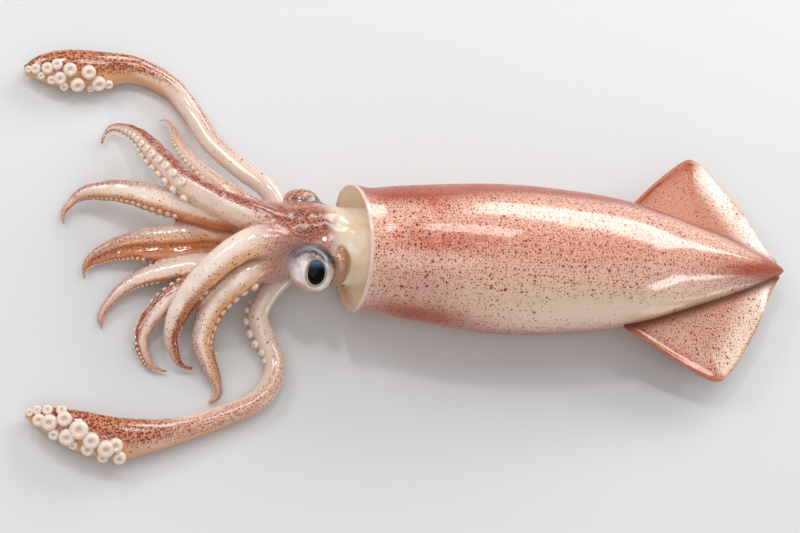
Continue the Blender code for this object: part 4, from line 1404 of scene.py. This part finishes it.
# %% Sucker material
sucker_skin, tree, shader = new_material("sucker_skin")
colour = glaze(
    tree, tone(240, 218, 202), ("stalk", 1, (220, 164, 116)), ("cup", 0.7, (214, 172, 142)),
    ("tan", 0.8, (226, 172, 124)),
)
wet_finish(tree, shader, colour, grain=0.6, folds=0.6, coat=0.8, subsurface=0.35)
for name, piece in arm_suckers.items():
    finish_piece(piece, sucker_skin, "arm_skin")
for name, piece in club_suckers.items():
    finish_piece(piece, sucker_skin, "tentacle_skin")

# %% [markdown]
# ## Eyes
# The eye is a ball with a big dark pupil in a thin gold ring, silvery round it. The ball is a
# sphere with a slight dome over the pupil. Its colours are rings round the way it looks, which a
# Mapping node finds by moving the pattern to the eye's centre and turning it to face outwards.

# %% Eye shapes
PUPIL = (3.4, 4.65)  # half width and half height in mm
PUPIL_UP = Vector((0, 0.915, 0.403))  # the tall side of the pupil leans over towards the back
DOME = 0.035  # share of the radius by which the ball bulges over the pupil
eyes = {}
for name, (centre, radius, looks, *_) in EYES.items():
    ball = make_ball(name + "_ball", centre, (radius, radius, radius), looks, segments=64)
    offset = points_of(ball) - np.array(centre) * MM
    way = np.array(Vector(looks).normalized())
    distance_out = np.linalg.norm(offset - np.outer(offset @ way, way), axis=1) / MM
    dome = DOME * (1 - rise(distance_out, 3.5, 5.4)) * (offset @ way > 0)
    move_points(ball, np.array(centre) * MM + offset * (1 + dome)[:, None])
    smooth_shading(ball)
    eyes[name] = ball
    print(name, "mm:", [round(side / MM, 1) for side in ball.dimensions])


# %% Eye material
def fade_out(tree, value, low, high, strength=1.0):
    """Full strength below low, nothing above high."""
    return ease(tree, value, low, high, strength, 0.0)


def ring_band(tree, value, start, full, fading, end):
    """A soft band: it rises from start to full and fades to its end."""
    return times(tree, ease(tree, value, start, full), fade_out(tree, value, fading, end))


def speckle(tree, place, scale, detail):
    noise = put(tree, "ShaderNodeTexNoise", {"Vector": place, "Scale": scale, "Detail": detail})
    return noise.outputs["Fac"]


EYE_GLOW = 0.12  # light that soaks through the ball


def eye_material(name, centre, looks):
    made, tree, shader = new_material(name)
    way = Vector(looks).normalized()
    up = (PUPIL_UP - way * PUPIL_UP.dot(way)).normalized()
    local = put(tree, "ShaderNodeMapping", {
        "Vector": put(tree, "ShaderNodeTexCoord").outputs["Object"],
        "Location": [c * MM for c in centre], "Scale": (MM, MM, MM),
        "Rotation": Matrix((up.cross(way), up, way)).transposed().to_euler(),
    }, vector_type="TEXTURE").outputs[0]
    x, y, z = put(tree, "ShaderNodeSeparateXYZ", {0: local}).outputs
    wide, high = (maths(tree, "DIVIDE", a, half) for a, half in zip((x, y), PUPIL))
    ring = maths(tree, "SQRT", plus(tree, times(tree, wide, wide), times(tree, high, high)))
    ring = plus(tree, ring, times(tree, maths(tree, "LESS_THAN", z, 0.0), 10.0))
    off_centre = vector_maths(tree, "SUBTRACT", local, (-2.0, 1.6, 0.0))
    reach = vector_maths(tree, "LENGTH", vector_maths(tree, "MULTIPLY", off_centre, (1, 1, 0)))
    upward = ease(tree, y, 3.4, 5.6)
    shadow = ease(tree, plus(tree, times(tree, x, 0.7), y), 5.6, 8.2)
    blush = vector_maths(tree, "DISTANCE", local, (-1.6, 5.9, 6.6))
    fold = times(tree, ring_band(tree, reach, 5.2, 5.9, 6.1, 6.7), times(tree, upward, 0.7))
    # White specks on the ball: silver flecks, made stronger towards the top as painted glints.
    specks = ease(tree, speckle(tree, local, 1.1, 2.0), 0.55, 0.66)
    arc = ring_band(tree, reach, 6.5, 7.0, 7.4, 8.0)
    low_left = plus(tree, times(tree, x, 0.45), y)
    pearl = glaze(
        tree, tone(252, 246, 244),
        (ease(tree, speckle(tree, local, 0.35, 3.0), 0.35, 0.65), 1, (226, 216, 216)),
        (shadow, 0.8, (74, 84, 104)), (fade_out(tree, blush, 0.8, 3.2, 0.75), 1, (126, 58, 48)),
        (fold, 1, (84, 76, 84)),
        (times(tree, specks, ease(tree, y, 0.5, 5.0)), 0.8, (250, 250, 252)),
        (times(tree, arc, upward), 1, (236, 238, 242)),
        (fade_out(tree, low_left, -8.2, -5.2, 0.85), 1, (190, 142, 122)),
    )
    gold = over(tree, ease(tree, high, -0.2, 0.8), tone(190, 168, 130), tone(92, 70, 62))
    # The upper part of the pupil is painted bluish, as a painted reflection.
    lens = over(tree, ease(tree, high, 0.3, 1.0), tone(1, 2, 2), tone(72, 92, 124))
    colour = over(tree, ease(tree, ring, 1.14, 1.4), tone(150, 138, 138), pearl)
    colour = over(tree, ease(tree, ring, 1.06, 1.12), gold, colour)
    colour = over(tree, ease(tree, ring, 0.98, 1.03), lens, colour)
    ridge = ring_band(tree, ring, 1.02, 1.14, 1.2, 1.34)
    bump = put(tree, "ShaderNodeBump", {"Height": ridge, "Strength": 0.5, "Distance": 0.3 * MM})
    feed(tree, shader, {
        "Base Color": colour, "Emission Color": colour, "Emission Strength": EYE_GLOW,
        "Normal": bump.outputs[0], "Roughness": ease(tree, ring, 1.0, 1.4, 0.12, 0.32),
        "Coat Weight": 0.2, "Coat Roughness": 0.04, "Specular IOR Level": 0.05,
        "Subsurface Weight": 0.1, "Subsurface Scale": 1.0 * MM,
    })
    return made


for name, (centre, radius, looks, *_) in EYES.items():
    finish_piece(eyes[name], eye_material(name + "_ball", centre, looks), "eyeball", name)

# %% [markdown]
# ## Funnel
# Under the neck lies the funnel, a soft flattened tube the squid blows water through. It hardly
# shows from above, but it is there when the squid is turned over, open at its front.

# %% Funnel
funnel_low, funnel_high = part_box("funnel")
middle = (funnel_low + funnel_high) / 2
half = (funnel_high - funnel_low) / 2
FUNNEL_RINGS = (
    # share from the front end, half width and half height as shares of the whole
    (0.22, 0.10, 0.2), (0.22, 0.40, 0.50), (0.06, 0.52, 0.62), (0.0, 0.60, 0.74),
    (0.03, 0.66, 0.84), (0.12, 0.70, 0.90), (0.4, 0.84, 0.95), (0.75, 0.97, 0.84),
    (0.95, 0.98, 0.70), (1.0, 0.85, 0.5), (1.0, 0.3, 0.2),
)
TILT = 1.6 * MM  # the funnel's front end lies this much lower than its middle
rings = []
for share, wide, high in FUNNEL_RINGS:
    rings.append((
        funnel_low.x + share * (funnel_high.x - funnel_low.x), middle.y,
        (middle.z - TILT) + share * 2 * TILT,
        max(wide * half.y, 0.5 * MM), max(high * (half.z - TILT), 0.5 * MM),
    ))
funnel = draw_out("funnel_tube", rings, sides=32)
apply_modifier(funnel, "SUBSURF", levels=2, render_levels=2)
smooth_shading(funnel)
funnel_skin, tree, shader = new_material("funnel_skin")
patch = use_group(tree, MOTTLE, Patch=6.0, Low=0.4, High=0.65)["Mask"]
colour = over(tree, patch, tone(228, 206, 190), tone(220, 180, 156))
wet_finish(tree, shader, colour, coat=0.7, subsurface=0.3)
finish_piece(funnel, funnel_skin, "funnel_skin", "funnel")

# %% Floor material
floor_paint, tree, shader = new_material("pale_floor")
clouds = speckle(tree, put(tree, "ShaderNodeTexCoord").outputs["Object"], 3.0, 2.0)
colour = over(tree, clouds, tone(214, 214, 214), tone(218, 218, 218))
feed(tree, shader, {"Base Color": colour, "Roughness": 0.9, "Specular IOR Level": 0.1})
floor.data.materials.append(floor_paint)
print("materials:", [material.name for material in bpy.data.materials])

# %% Sizes, and the end
low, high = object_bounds()
print("visual size, mm:", [round((b - a) / MM, 1) for a, b in zip(low, high)])
